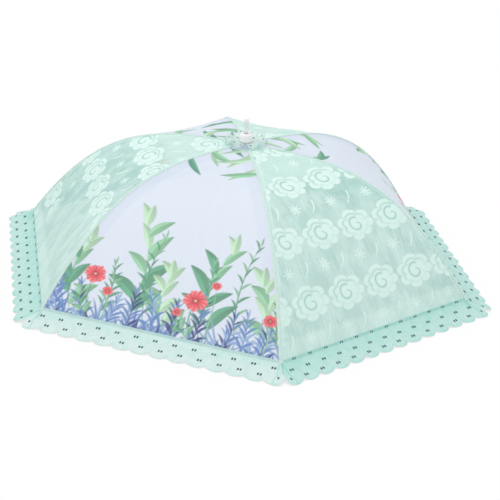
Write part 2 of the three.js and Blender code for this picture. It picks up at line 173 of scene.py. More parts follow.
def store(mesh: bpy.types.Mesh, key: str, values: Array) -> None:
    """Gives a mesh a number, a direction or a colour for each point.

    Args:
        mesh: The mesh.
        key: The attribute's name.
        values: One, three or four numbers for each point.
    """
    kinds = {1: ("FLOAT", "value"), 3: ("FLOAT_VECTOR", "vector"), 4: ("FLOAT_COLOR", "color")}
    kind, part = kinds[values.size // len(mesh.vertices)]
    attribute = mesh.attributes.new(key, kind, "POINT")
    attribute.data.foreach_set(part, values.astype(np.float32).ravel())
def skin(
    name: str,
    points: Array,
    material: Material,
    normals: Array | None = None,
    cloth: Array | None = None,
    paint: dict[str, Array] | None = None,
    round_columns: bool = False,
) -> Piece:
    """Makes a piece from rows of points.

    Args:
        name: The piece's name.
        points: Rows of columns of x, y, z.
        material: Its finish.
        normals: A direction for each point, where neighbouring pieces have to shade alike.
        cloth: The cut's own flat coordinates, in metres, for the UV map.
        paint: Values or linear colours for each point, by attribute name.
        round_columns: True joins the last column to the first.

    Returns:
        The object, linked to the scene.
    """
    rows, columns = points.shape[:2]
    index = np.arange(rows * columns).reshape(rows, columns)
    if round_columns:
        index = np.concatenate([index, index[:, :1]], axis=1)
    corners = [index[:-1, :-1], index[:-1, 1:], index[1:, 1:], index[1:, :-1]]
    quads = np.stack(corners, axis=-1).reshape(-1, 4)
    flat = points.reshape(-1, 3)
    if normals is not None:
        middle = quads[len(quads) // 2]
        facing = np.cross(flat[middle[1]] - flat[middle[0]], flat[middle[3]] - flat[middle[0]])
        if facing @ normals.reshape(-1, 3)[middle[0]] < 0:
            quads = quads[:, ::-1]
    mesh = bpy.data.meshes.new(name)
    mesh.vertices.add(len(flat))
    mesh.vertices.foreach_set("co", flat.astype(np.float32).ravel())
    mesh.loops.add(quads.size)
    mesh.loops.foreach_set("vertex_index", quads.astype(np.int32).ravel())
    mesh.polygons.add(len(quads))
    mesh.polygons.foreach_set("loop_start", np.arange(0, quads.size, 4, dtype=np.int32))
    mesh.polygons.foreach_set("use_smooth", np.ones(len(quads), dtype=bool))
    mesh.update(calc_edges=True)
    if cloth is not None:
        layer = mesh.uv_layers.new(name="cloth")
        flat_cloth = cloth.reshape(-1, 2)[quads.ravel()]
        layer.data.foreach_set("uv", flat_cloth.astype(np.float32).ravel())
    for key, values in (paint or {}).items():
        store(mesh, key, values)
    if normals is not None:
        mesh.normals_split_custom_set_from_vertices(normals.reshape(-1, 3).astype(np.float32))
    mesh.materials.append(material)
    return placed(name, mesh)


def area_of(piece: Piece) -> float:
    """Measures a piece's surface.

    Args:
        piece: A mesh object.

    Returns:
        Its area in square metres.
    """
    areas = np.zeros(len(piece.data.polygons), np.float32)
    piece.data.polygons.foreach_get("area", areas)
    return float(areas.sum())


# Shader nodes


class Tree:
    """A node tree with short calls for the nodes used here."""

    def __init__(self, tree: bpy.types.NodeTree) -> None:
        """Keeps the tree to add to."""
        self.tree = tree

    def feed(self, socket: Socket, value: object) -> None:
        """Links or sets an input.

        Args:
            socket: The input.
            value: The socket to link to it, or its value.
        """
        if isinstance(value, Socket):
            self.tree.links.new(value, socket)
        else:
            socket.default_value = value

    def add(self, kind: str, inputs: dict | None = None, **settings: object) -> bpy.types.Node:
        """Adds a node.

        Args:
            kind: The node's type.
            inputs: Sockets or values by socket name or number.
            settings: The node's own properties.

        Returns:
            The node.
        """
        node = self.tree.nodes.new(kind)
        for key, value in settings.items():
            setattr(node, key, value)
        for key, value in (inputs or {}).items():
            self.feed(node.inputs[key], value)
        return node

    def math(self, operation: str, *values: object, clamp: bool = False) -> Socket:
        """Adds a Math node for sockets or numbers, kept between zero and one where clamp is True."""
        inputs = dict(enumerate(values))
        return self.add("ShaderNodeMath", inputs, operation=operation, use_clamp=clamp).outputs[0]

    def mix(self, share: object, first: object, second: object, blend: str = "MIX") -> Socket:
        """Mixes two colours; the share is how much of the second."""
        inputs = {0: share, 6: first, 7: second}
        return self.add("ShaderNodeMix", inputs, data_type="RGBA", blend_type=blend).outputs[2]

    def span(self, value: Socket, low: float, high: float, start: float = 0.0, end: float = 1.0) -> Socket:
        """Maps a value smoothly from low and high to start and end, without leaving them."""
        inputs = {0: value, 1: low, 2: high, 3: start, 4: end}
        return self.add("ShaderNodeMapRange", inputs, interpolation_type="SMOOTHSTEP").outputs[0]

    def attribute(self, name: str, output: str = "Fac") -> Socket:
        """Reads an attribute of the mesh, as Fac for a value and Color for a colour."""
        return self.add("ShaderNodeAttribute", attribute_name=name).outputs[output]

    def noise(
        self,
        place: Socket,
        stretch: object = None,
        scale: float = 1.0,
        detail: float = 2.0,
        roughness: float = 0.5,
    ) -> Socket:
        """Adds a Noise Texture.

        Args:
            place: Its coordinates.
            stretch: What they are multiplied by, a vector or a socket.
            scale, detail, roughness: The node's own values.

        Returns:
            A value round one half.
        """
        if stretch is not None:
            inputs = {0: place, 1: stretch}
            place = self.add("ShaderNodeVectorMath", inputs, operation="MULTIPLY").outputs[0]
        inputs = {"Vector": place, "Scale": scale, "Detail": detail, "Roughness": roughness}
        return self.add("ShaderNodeTexNoise", inputs).outputs["Fac"]


def shader_group(
    name: str,
    inputs: dict[str, tuple[str, object]],
    outputs: list[str],
) -> tuple[Tree, bpy.types.Node, bpy.types.Node]:
    """Starts a shader node group.

    Args:
        name: The group's name.
        inputs: Socket type and first value, by socket name.
        outputs: The names of the values that it puts out.

    Returns:
        Its tree, its input node and its output node.
    """
    group = bpy.data.node_groups.new(name, "ShaderNodeTree")
    for key, (kind, value) in inputs.items():
        socket = group.interface.new_socket(key, in_out="INPUT", socket_type=kind)
        if value is not None:
            socket.default_value = value
    for key in outputs:
        group.interface.new_socket(key, in_out="OUTPUT", socket_type="NodeSocketFloat")
    tree = Tree(group)
    return tree, tree.add("NodeGroupInput"), tree.add("NodeGroupOutput")


@dataclass(frozen=True)
class SharedEffects:
    """The node groups that several finishes use."""

    weave_pitch: float = 0.6 * MM
    net_pitch: float = 1.6 * MM
    streak_fineness: tuple[float, float, float] = (500.0, 16.0, 1.0)
    scratch_fineness: tuple[float, float, float] = (900.0, 90.0, 260.0)

    @cached_property
    def weave(self) -> bpy.types.NodeTree:
        """A plain weave: height of the threads, from the cut's own coordinates."""
        inputs = {"Cloth": ("NodeSocketVector", None), "Pitch": ("NodeSocketFloat", self.weave_pitch)}
        tree, given, result = shader_group("plain_weave", inputs, ["Height"])
        parts = tree.add("ShaderNodeSeparateXYZ", {0: given.outputs["Cloth"]})
        turns = tree.math("DIVIDE", TURN, given.outputs["Pitch"])
        waves = [tree.math("SINE", tree.math("MULTIPLY", parts.outputs[way], turns)) for way in (0, 1)]
        height = tree.math("MULTIPLY_ADD", tree.math("MULTIPLY", *waves), 0.5, 0.5)
        tree.feed(result.inputs["Height"], height)
        return tree.tree

    @cached_property
    def net(self) -> bpy.types.NodeTree:
        """A knotted net: one in its holes, zero on its threads."""
        inputs = {"Cloth": ("NodeSocketVector", None), "Pitch": ("NodeSocketFloat", self.net_pitch)}
        tree, given, result = shader_group("net", inputs, ["Hole"])
        parts = tree.add("ShaderNodeSeparateXYZ", {0: given.outputs["Cloth"]})
        turns = tree.math("DIVIDE", math.pi, given.outputs["Pitch"])
        leaning = [tree.math(way, parts.outputs[0], parts.outputs[1]) for way in ("ADD", "SUBTRACT")]
        waves = [tree.math("SINE", tree.math("MULTIPLY", lean, turns)) for lean in leaning]
        waves = [tree.math("ABSOLUTE", wave) for wave in waves]
        tree.feed(result.inputs["Hole"], tree.span(tree.math("MULTIPLY", *waves), 0.2, 0.6))
        return tree.tree

    @cached_property
    def streaks(self) -> bpy.types.NodeTree:
        """Uneven threads that run up the cloth: a value round one half."""
        fineness = ("NodeSocketVector", self.streak_fineness)
        inputs = {"Cloth": ("NodeSocketVector", None), "Fineness": fineness}
        tree, given, result = shader_group("thread_streaks", inputs, ["Value"])
        noise = tree.noise(given.outputs["Cloth"], given.outputs["Fineness"], detail=3.0, roughness=0.6)
        tree.feed(result.inputs["Value"], noise)
        return tree.tree

    @cached_property
    def handling(self) -> bpy.types.NodeTree:
        """Faint marks of handling on hard pieces: a slow mottle and fine scratches."""
        inputs = {"Place": ("NodeSocketVector", None)}
        tree, given, result = shader_group("handling_marks", inputs, ["Mottle", "Scratches"])
        tree.feed(result.inputs["Mottle"], tree.noise(given.outputs["Place"], scale=60.0, detail=4.0))
        scratches = tree.noise(given.outputs["Place"], self.scratch_fineness)
        tree.feed(result.inputs["Scratches"], tree.span(scratches, 0.6, 0.75))
        return tree.tree


EFFECTS = SharedEffects()


class Finish:
    """A material whose Principled node takes what each kind of finish wires to it."""

    def __init__(self, name: str) -> None:
        """Makes the material.

        Args:
            name: Its name.
        """
        self.material = bpy.data.materials.new(name)
        self.material.use_nodes = True
        self.tree = Tree(self.material.node_tree)
        self.surface = self.material.node_tree.nodes["Principled BSDF"]

    def wire(self, **sockets: object) -> None:
        """Sets or links the Principled node's sockets, by name with underscores for spaces."""
        for key, value in sockets.items():
            self.tree.feed(self.surface.inputs[key.replace("_", " ")], value)

    def shared(self, group: bpy.types.NodeTree, **inputs: object) -> bpy.types.Node:
        """Adds a shared effect, with values or sockets by name."""
        return self.tree.add("ShaderNodeGroup", inputs, node_tree=group)

    def bump(self, height: Socket, distance: float, strength: float) -> Socket:
        """Adds a Bump node; the distance is what a height of one stands for, in metres."""
        inputs = {"Height": height, "Distance": distance, "Strength": strength}
        return self.tree.add("ShaderNodeBump", inputs).outputs[0]

    @property
    def cloth(self) -> Socket:
        """The cut's own coordinates, in metres."""
        return self.tree.add("ShaderNodeUVMap", uv_map="cloth").outputs[0]

    @property
    def place(self) -> Socket:
        """The object's own coordinates, in metres."""
        return self.tree.add("ShaderNodeTexCoord").outputs["Object"]


@dataclass(frozen=True)
class PrintedCotton:
    """Fine plain weave whose print is painted into the mesh."""

    thread: float = 0.55 * MM
    relief: float = 0.05 * MM
    opacity: float = 0.95
    sheen: float = 0.12

    def make(self) -> Material:
        """Makes the material.

        Returns:
            The material.
        """
        finish = Finish("printed_cotton")
        cloth = finish.cloth
        tree = finish.tree
        streaks = finish.shared(EFFECTS.streaks, Cloth=cloth).outputs[0]
        shade = tree.span(streaks, 0.3, 0.7, 0.985, 1.012)
        grey = tree.add("ShaderNodeCombineColor", {0: shade, 1: shade, 2: shade}).outputs[0]
        weave = finish.shared(EFFECTS.weave, Cloth=cloth, Pitch=self.thread).outputs[0]
        finish.wire(
            Base_Color=tree.mix(1.0, tree.attribute("print_colour", "Color"), grey, "MULTIPLY"),
            Roughness=tree.span(weave, 0.0, 1.0, 0.88, 0.76),
            Alpha=self.opacity,
            Sheen_Weight=self.sheen,
            Normal=finish.bump(weave, self.relief, 0.6),
        )
        return finish.material


@dataclass(frozen=True)
class FloralLace:
    """Net with raised flowers, painted into the mesh as masks."""

    ground: Colour = rgb(208, 241, 234)
    ground_streak_and_shade: Colour = rgb(168, 214, 204)
    flower: Colour = rgb(230, 255, 249)
    outline: Colour = rgb(166, 214, 202)
    top_light: Colour = rgb(220, 252, 243)
    top_light_from: float = 235 * MM
    top_light_to: float = 275 * MM
    thread_fineness: tuple[float, float, float] = (420.0, 22.0, 1.0)
    patch_fineness: tuple[float, float, float] = (34.0, 20.0, 1.0)
    net_pitch: float = 1.7 * MM
    relief: float = 0.25 * MM
    closed_alpha: float = 0.97
    open_alpha: float = 0.76
    roughness: float = 0.82
    sheen: float = 0.15

    def make(self) -> Material:
        """Makes the material.

        Returns:
            The material.
        """
        finish = Finish("floral_lace")
        cloth = finish.cloth
        tree = finish.tree
        flower = tree.attribute("lace_flower")
        line = tree.attribute("lace_line")
        streaks = finish.shared(EFFECTS.streaks, Cloth=cloth, Fineness=self.thread_fineness).outputs[0]
        # The ground darkens along thread streaks, which are the lace's own, and in broad patches of painted
        # shade that stand for the shaded inside seen through the net.
        see_through_shade = finish.shared(EFFECTS.streaks, Cloth=cloth, Fineness=self.patch_fineness).outputs[0]
        streaky = tree.span(streaks, 0.35, 0.7, 0.0, 0.45)
        uneven = tree.math("MULTIPLY_ADD", tree.span(see_through_shade, 0.38, 0.62), 0.55, streaky)
        ground = tree.mix(uneven, self.ground, self.ground_streak_and_shade)
        high = tree.add("ShaderNodeSeparateXYZ", {0: cloth}).outputs[1]
        # Painted light: the ground turns paler towards the top of the gore, where more light falls.
        ground = tree.mix(tree.span(high, self.top_light_from, self.top_light_to, 0.0, 0.7), ground, self.top_light)
        colour = tree.mix(line, tree.mix(flower, ground, self.flower), self.outline)
        hole = finish.shared(EFFECTS.net, Cloth=cloth, Pitch=self.net_pitch).outputs[0]
        open_share = tree.math("MULTIPLY", hole, tree.math("SUBTRACT", 1.0, flower, clamp=True))
        threads = tree.math("SUBTRACT", 1.0, hole)
        height = tree.math("MAXIMUM", tree.math("MULTIPLY", threads, 0.4), flower)
        height = tree.math("SUBTRACT", height, tree.math("MULTIPLY", line, 0.5))
        finish.wire(
            Base_Color=colour,
            Roughness=self.roughness,
            Alpha=tree.span(open_share, 0.0, 1.0, self.closed_alpha, self.open_alpha),
            Sheen_Weight=self.sheen,
            Normal=finish.bump(height, self.relief, 0.7),
        )
        return finish.material


@dataclass(frozen=True)
class TrimLace:
    """Dotted tulle with a worked edge, deeper where it is worked; painted shade and painted light also set
    how deep it is.
    """

    name: str = "trim_lace"
    ground: Colour = rgb(238, 253, 251)
    worked: Colour = rgb(148, 226, 213)
    opacity: float = 0.92
    opening: float = 0.18
    patch_fineness: tuple[float, float, float] = (90.0, 40.0, 1.0)
    net_pitch: float = 1.3 * MM
    relief: float = 0.12 * MM
    roughness: float = 0.8
    sheen: float = 0.15

    def make(self) -> Material:
        """Makes the material.

        Returns:
            The material.
        """
        finish = Finish(self.name)
        cloth = finish.cloth
        tree = finish.tree
        depth = tree.attribute("trim_depth")
        streaks = finish.shared(EFFECTS.streaks, Cloth=cloth, Fineness=self.patch_fineness).outputs[0]
        worked = tree.math("ADD", depth, tree.span(streaks, 0.4, 0.8, -0.1, 0.15), clamp=True)
        hole = finish.shared(EFFECTS.net, Cloth=cloth, Pitch=self.net_pitch).outputs[0]
        finish.wire(
            Base_Color=tree.mix(worked, self.ground, self.worked),
            Roughness=self.roughness,
            Alpha=tree.span(hole, 0.0, 1.0, self.opacity, self.opacity - self.opening),
            Sheen_Weight=self.sheen,
            Normal=finish.bump(tree.math("SUBTRACT", 1.0, hole), self.relief, 0.6),
        )
        return finish.material


@dataclass(frozen=True)
class Thread:
    """Sewing or embroidery thread."""

    name: str
    colour: Colour
    twist: float = 0.5 * MM
    relief: float = 0.1 * MM
    hollow_shade: float = 0.7

    def make(self) -> Material:
        """Makes the material.

        Returns:
            The material.
        """
        finish = Finish(self.name)
        tree = finish.tree
        strands = tree.noise(finish.place, (1 / self.twist,) * 3)
        # Painted shade: the hollows between the twisted strands are darker.
        dark = darker(self.colour, self.hollow_shade)
        finish.wire(
            Base_Color=tree.mix(tree.span(strands, 0.35, 0.65), dark, self.colour),
            Roughness=tree.span(strands, 0.0, 1.0, 0.5, 0.8),
            Normal=finish.bump(strands, self.relief, 0.5),
        )
        return finish.material


@dataclass(frozen=True)
class HardFinish:
    """Moulded plastic, coated wire or bright steel."""

    name: str
    colour: Colour
    roughness: float
    metallic: float = 0.0
    opacity: float = 1.0
    worn: float = 0.95
    uneven: float = 0.06
    scratched: float = 0.12
    relief: float = 0.02 * MM

    def make(self) -> Material:
        """Makes the material.

        Returns:
            The material.
        """
        finish = Finish(self.name)
        tree = finish.tree
        marks = finish.shared(EFFECTS.handling, Place=finish.place)
        mottle, scratches = marks.outputs["Mottle"], marks.outputs["Scratches"]
        rough = tree.span(mottle, 0.3, 0.7, self.roughness - self.uneven, self.roughness + self.uneven)
        finish.wire(
            Base_Color=tree.mix(tree.span(mottle, 0.35, 0.8), self.colour, darker(self.colour, self.worn)),
            Roughness=tree.math("ADD", rough, tree.math("MULTIPLY", scratches, self.scratched)),
            Metallic=self.metallic,
            Alpha=self.opacity,
            Normal=finish.bump(scratches, self.relief, 0.3),
        )
        return finish.material


@dataclass(frozen=True)
class SatinRibbon:
    """Woven satin with ribs across it."""

    colour: Colour = rgb(246, 244, 246)
    opacity: float = 0.42
    thread: float = 0.5 * MM
    relief: float = 0.04 * MM
    hollow_shade: float = 0.85
    sheen: float = 0.2

    def make(self) -> Material:
        """Makes the material.

        Returns:
            The material.
        """
        finish = Finish("satin_ribbon")
        tree = finish.tree
        weave = finish.shared(EFFECTS.weave, Cloth=finish.cloth, Pitch=self.thread).outputs[0]
        # Painted shade: the hollows between the woven threads are darker.
        finish.wire(
            Base_Color=tree.mix(weave, darker(self.colour, self.hollow_shade), self.colour),
            Roughness=tree.span(weave, 0.0, 1.0, 0.5, 0.35),
            Alpha=self.opacity,
            Sheen_Weight=self.sheen,
            Normal=finish.bump(weave, self.relief, 0.5),
        )
        return finish.material


class Wardrobe:
    """Every material of the scene, made once."""

    def __init__(self) -> None:
        """Makes the materials."""
        self.print = PrintedCotton().make()
        self.lace = FloralLace().make()
        self.trim = TrimLace().make()
        self.rosette = TrimLace("rosette_lace", rgb(236, 252, 247), rgb(184, 226, 216), 0.72).make()
        self.tape = TrimLace("seam_tape", rgb(230, 254, 246), rgb(216, 247, 238), 0.97).make()
        self.pocket = TrimLace("pocket_cloth", rgb(216, 242, 234), rgb(180, 220, 210), 0.98).make()
        self.dots = Thread("dot_thread", rgb(58, 104, 118)).make()
        self.stitch = Thread("stitch_thread", rgb(214, 240, 232)).make()
        self.ribbon = SatinRibbon().make()
        self.plastic = HardFinish("white_plastic", rgb(232, 235, 236), 0.36).make()
        self.cap = HardFinish("clouded_cap", rgb(255, 253, 255), 0.28, opacity=0.98).make()
        self.steel = HardFinish("bright_steel", rgb(196, 200, 204), 0.28, metallic=1.0).make()
        self.wire = HardFinish("coated_wire", rgb(214, 220, 220), 0.38, metallic=0.3).make()


# The canopy's form


@dataclass(frozen=True)
class RibLine:
    """The line that a rib's wire follows in its own upright plane, as (radius, height)."""

    pin: Pair = (11 * MM, 190 * MM)
    crown_handle: Pair = (158 * MM, 193 * MM)
    shoulder: Pair = (242 * MM, 173 * MM)
    hem: Pair = (350 * MM, 20 * MM)
    steps: int = 4000

    def curve(self, u: Array) -> tuple[Array, Array]:
        """Follows the curve by its own parameter.

        Args:
            u: Parameters from zero to one.

        Returns:
            The points and the unit tangents.
        """
        a, b, c, d = (np.array(p) for p in (self.pin, self.crown_handle, self.shoulder, self.hem))
        u = u[..., None]
        v = 1 - u
        points = v**3 * a + 3 * v * v * u * b + 3 * v * u * u * c + u**3 * d
        slopes = 3 * v * v * (b - a) + 6 * v * u * (c - b) + 3 * u * u * (d - c)
        return points, slopes / np.linalg.norm(slopes, axis=-1, keepdims=True)

    @cached_property
    def measured(self) -> tuple[Array, Array, float]:
        """The parameters, the share of the length at each, and the length."""
        u = np.linspace(0, 1, self.steps + 1)
        points, _ = self.curve(u)
        lengths = np.concatenate([[0], np.cumsum(np.linalg.norm(np.diff(points, axis=0), axis=1))])
        return u, lengths / lengths[-1], float(lengths[-1])

    def at(self, share: Array, lift: float = 0.0) -> tuple[Array, Array]:
        """Follows the line by its length, and straight on past its end.

        Args:
            share: Shares of the length, from zero.
            lift: The distance above the line.

        Returns:
            The points and the unit tangents.
        """
        u, shares, length = self.measured
        points, tangents = self.curve(np.interp(share, shares, u))
        points = points + tangents * (np.maximum(share - 1, 0) * length)[..., None]
        over = np.stack([-tangents[..., 1], tangents[..., 0]], axis=-1)
        return points + lift * over, tangents


@dataclass(frozen=True)
class Fold:
    """How the cloth of one band draws in as the ribs fold: a plane and the share of the width kept."""

    axis: Array
    anchor: Array
    keep: float


@dataclass(frozen=True)
class Half:
    """One half of a gore or a trim: side is 1 where it lies to its rib's left, seen from outside above."""

    side: int
    rib: int
    hand: str


def halves(number: int) -> tuple[Half, Half]:
    """Gives the halves of a gore or a trim: one rides on its own number's rib, the other on the next."""
    return Half(1, number, "a"), Half(-1, number % len(RIBS) + 1, "b")


@dataclass(frozen=True)
class Canopy:
    """The cloth dome: chords between ribs that sink a little, with seams drawn down on the ribs."""

    line: RibLine = field(default_factory=RibLine)
    lift: float = 2.6 * MM
    sag: float = 4 * MM
    landing: float = 0.06
    hem_drop: float = 9.5 * MM
    hole_radius: float = 8 * MM
    plateau_radius: float = 17.2 * MM
    plateau_height: float = 195.45 * MM
    seam_gap: float = 0.05 * MM
    bands: int = 10
    band_power: float = 0.75
    cell: float = 1.1 * MM
    fold_angle: float = math.radians(58)
    pucker: float = 0.3 * MM
    pucker_pitch: float = 11 * MM
    pucker_drift: float = 37 * MM
    pucker_reach: float = 9 * MM
    pucker_start: float = 2 * MM
    slow_waves: int = 5
    slow_wave: float = 0.45 * MM
    soft_ridges: int = 3
    level_fold: float = 0.6 * MM
    level_fold_up: float = 262.0
    level_fold_slope: float = 0.03
    level_fold_width: float = 5 * MM
    least_keep: float = 0.05

    @property
    def hem(self) -> float:
        """Where the cloth ends, as a share of the rib's line: a little past the hem of the frame."""
        return 1 + self.hem_drop / self.line.measured[2]

    @cached_property
    def marks(self) -> Array:
        """Where the bands meet, as shares of the rib's line: closer together towards the hem."""
        steps = np.linspace(0, 1, self.bands + 1) ** self.band_power
        return self.landing + (self.hem - self.landing) * steps

    @cached_property
    def heights(self) -> tuple[Array, Array]:
        """Shares of the rib's line, and how far each lies up the gore's middle from the hem."""
        share = np.linspace(0, self.hem, 2001)
        points, _ = self.line.at(share, self.lift)
        middle = points * np.array([COS_HALF, 1])
        steps = np.linalg.norm(np.diff(middle, axis=0), axis=1)
        return share, np.concatenate([np.cumsum(steps[::-1])[::-1], [0]])

    def half_width(self, radius: Array) -> Array:
        """Gives half of a gore's width, where its corners lie at a radius."""
        return radius * SIN_HALF - self.seam_gap / 2

    def creases(self, x: Array, y: Array, across: Array, down: Array, seed: int) -> Array:
        """Adds the cloth's small unevenness: seam puckers, slow waves, soft ridges and one level fold.

        Args:
            x, y: The cut's own coordinates.
            across: From -1 to 1 between the ribs.
            down: From 0 at the crown to 1 at the hem.
            seed: Which gore it is.

        Returns:
            Heights over the smooth form.
        """
        source = np.random.default_rng(100 + seed)
        half = np.maximum(np.abs(x) / np.maximum(np.abs(across), 1e-3), 1 * MM)
        from_seam = (1 - np.abs(across)) * half
        between = np.sqrt(np.clip(1 - across * across, 0, 1))
        calm = between * np.clip(np.sin(math.pi * np.clip(down, 0, 1)), 0, 1) ** 0.4
        pucker = self.pucker * np.sin(TURN * y / self.pucker_pitch + 2 * np.sin(y / self.pucker_drift))
        fading = np.exp(-from_seam / self.pucker_reach)
        height = pucker * fading * (1 - np.exp(-from_seam / self.pucker_start))
        for _ in range(self.slow_waves):
            angle = source.uniform(-0.5, 0.5)
            length = source.uniform(70, 170) * MM
            phase = source.uniform(0, TURN)
            wave = np.sin(TURN * (x * math.cos(angle) + y * math.sin(angle)) / length + phase)
            height = height + self.slow_wave * wave * calm
        for _ in range(self.soft_ridges):
            where = source.uniform(-0.7, 0.7)
            lean = source.uniform(-0.1, 0.1)
            line = across - where - lean * down
            width = source.uniform(0.02, 0.035)
            height = height + source.uniform(-0.5, 0.6) * MM * bell(line, width) * calm
        fold = y - (self.level_fold_up + 10 * source.uniform(-1, 1)) * MM - self.level_fold_slope * x
        return height + self.level_fold * bell(fold, self.level_fold_width) * calm

    def surface(
        self,
        gore: int,
        share: Array,
        across: Array,
        raised: float | Array = 0.0,
    ) -> tuple[Array, Array]:
        """Finds points on a gore.

        Args:
            gore: Its number, from one.
            share: Shares of the rib's line.
            across: From -1 at its first rib to 1 at its second.
            raised: The distance over the cloth.

        Returns:
            The points and the cut's own coordinates.
        """
        edge, tangent = self.line.at(share, self.lift)
        slope, steep = -tangent[..., 1], tangent[..., 0]
        down = (share - self.landing) / (self.hem - self.landing)
        x = across * self.half_width(edge[..., 0])
        y = np.interp(share, *self.heights)
        sink = self.sag * np.sin(math.pi * np.clip(down, 0, 1)) * (1 - across * across)
        lift = raised - sink + self.creases(x, y, across, down, gore)
        points = np.stack([edge[..., 0] * COS_HALF + lift * slope, x, edge[..., 1] + lift * steep], axis=-1)
        return turned(points, gore_azimuth(gore)), np.stack([x, y], axis=-1)

    def shaded(self, gore: int, share: Array, across: Array) -> tuple[Array, Array, Array]:
        """Finds points on a gore with the directions that face out of it.

        Args:
            gore: Its number, from one.
            share: Shares of the rib's line.
            across: From -1 at its first rib to 1 at its second.

        Returns:
            The points, the cut's own coordinates and the normals.
        """
        points, cloth = self.surface(gore, share, across)
        step = 1e-3
        along = self.surface(gore, share + step, across)[0] - self.surface(gore, share - step, across)[0]
        sideways = self.surface(gore, share, across + step)[0] - self.surface(gore, share, across - step)[0]
        return points, cloth, facing_up(along, sideways)

    def fold_of(self, half: Half, top: float, bottom: float, inner: Pair | None) -> Fold:
        """Works out how one band of half a gore draws in.

        Args:
            half: Which half, with the rib that it rides on.
            top, bottom: The band's shares of the rib's line.
            inner: The distance and height of the band's far edge in the gore's middle plane, where it isn't
                level with the rib.

        Returns:
            The plane and the share of the width that is kept.
        """
        middle = np.array([(top + bottom) / 2])
        edge, tangent = (array[0] for array in self.line.at(middle, self.lift))
        anchor = np.array([edge[0], 0, edge[1]])
        along = np.array([tangent[0], 0, tangent[1]])
        plane = np.array([-SIN_HALF, COS_HALF, 0])
        axis = plane - (plane @ along) * along
        axis /= np.linalg.norm(axis)
        cos, sin = math.cos(self.fold_angle), math.sin(self.fold_angle)
        turn = np.array([[cos, 0, sin], [0, 1, 0], [-sin, 0, cos]])
        pin = np.array([self.line.pin[0], 0, self.line.pin[1]])
        facing = turn.T @ plane
        level = facing @ pin - plane @ pin
        out, height = inner or (edge[0] * COS_HALF, edge[1])
        far = np.array([out * COS_HALF, out * SIN_HALF, height])
        keep = 1 - (facing @ far - level) / (((far - anchor) @ axis) * (facing @ axis))
        axis = axis * np.array([1, half.side, 1])
        azimuth = rib_azimuth(half.rib)
        keep = float(np.clip(keep, self.least_keep, 1))
        return Fold(turned(axis, azimuth), turned(anchor, azimuth), keep)

    def fit(self, piece: Piece, half: Half, top: float, bottom: float, inner: Pair | None = None) -> None:
        """Lets a finished piece ride on its rib.

        Args:
            piece: The piece.
            half: Which half, with the rib that it rides on.
            top, bottom: The shares of the rib's line that it lies between.
            inner: As in fold_of.
        """
        fold = self.fold_of(half, top, bottom, inner)
        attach(piece, f"rib_{half.rib}")
        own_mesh(piece)


# Patterns


def stamp(canvas: Array, mask: Array, colour: tuple[float, ...], shade: Array | float = 1.0) -> None:
    """Lays a colour on a painting.

    Args:
        canvas: Linear colours, changed in place.
        mask: How much of the colour, for each point.
        colour: The linear colour.
        shade: What the colour is multiplied by.
    """
    laid = np.asarray(colour[:3]) * np.asarray(shade)[..., None]
    canvas[..., :3] += mask[..., None] * (laid - canvas[..., :3])


@dataclass(frozen=True)
class Leaf:
    """A leaf, blade or leaflet on a curved line, in millimetres of the cut."""

    root: Pair
    tip: Pair
    width: float
    colour: Colour
    bend: float = 0.0
    vein: float = 0.25
    side_veins: float = 0.0
    blur: float = 1.1
    cover: float = 0.96
    vein_width: float = 0.8
    side_vein_pitch: float = 4.2
    lit_side: float = 0.16
    rim_shade: float = 0.12

    @property
    def box(self) -> Box:
        """The least and greatest x, then y, that it can reach."""
        spread = self.width / 2 + abs(self.bend) + 1
        xs, ys = (self.root[0], self.tip[0]), (self.root[1], self.tip[1])
        return min(xs) - spread, max(xs) + spread, min(ys) - spread, max(ys) + spread

    def lay(self, x: Array, y: Array, canvas: Array) -> None:
        """Paints the leaf.

        Args:
            x, y: The points, in millimetres.
            canvas: Linear colours, changed in place.
        """
        root, tip = np.array(self.root, float), np.array(self.tip, float)
        along = tip - root
        length = float(np.hypot(*along))
        along /= length
        dx, dy = x - root[0], y - root[1]
        t = (dx * along[0] + dy * along[1]) / length
        off = -dx * along[1] + dy * along[0] - self.bend * 4 * t * (1 - t)
        inside = np.clip(t, 0, 1)
        half = self.width / 2 * np.sin(math.pi * inside**0.8) ** 0.8
        mask = soft_edge(half - np.abs(off), self.blur) * (t > 0) * (t < 1)
        edge = np.clip(np.abs(off) / np.maximum(half, 0.5), 0, 1)
        lighter = 1 + self.lit_side * np.tanh(off / 1.4) - self.vein * bell(off, self.vein_width)
        lighter += self.side_veins * np.sin((t * length - 1.3 * np.abs(off)) * TURN / self.side_vein_pitch)
        lighter += 0.3 * self.side_veins / 0.1 * (0.5 - inside) - self.rim_shade * smooth(0.8, 1.0, edge)
        stamp(canvas, mask * self.cover, self.colour, lighter)


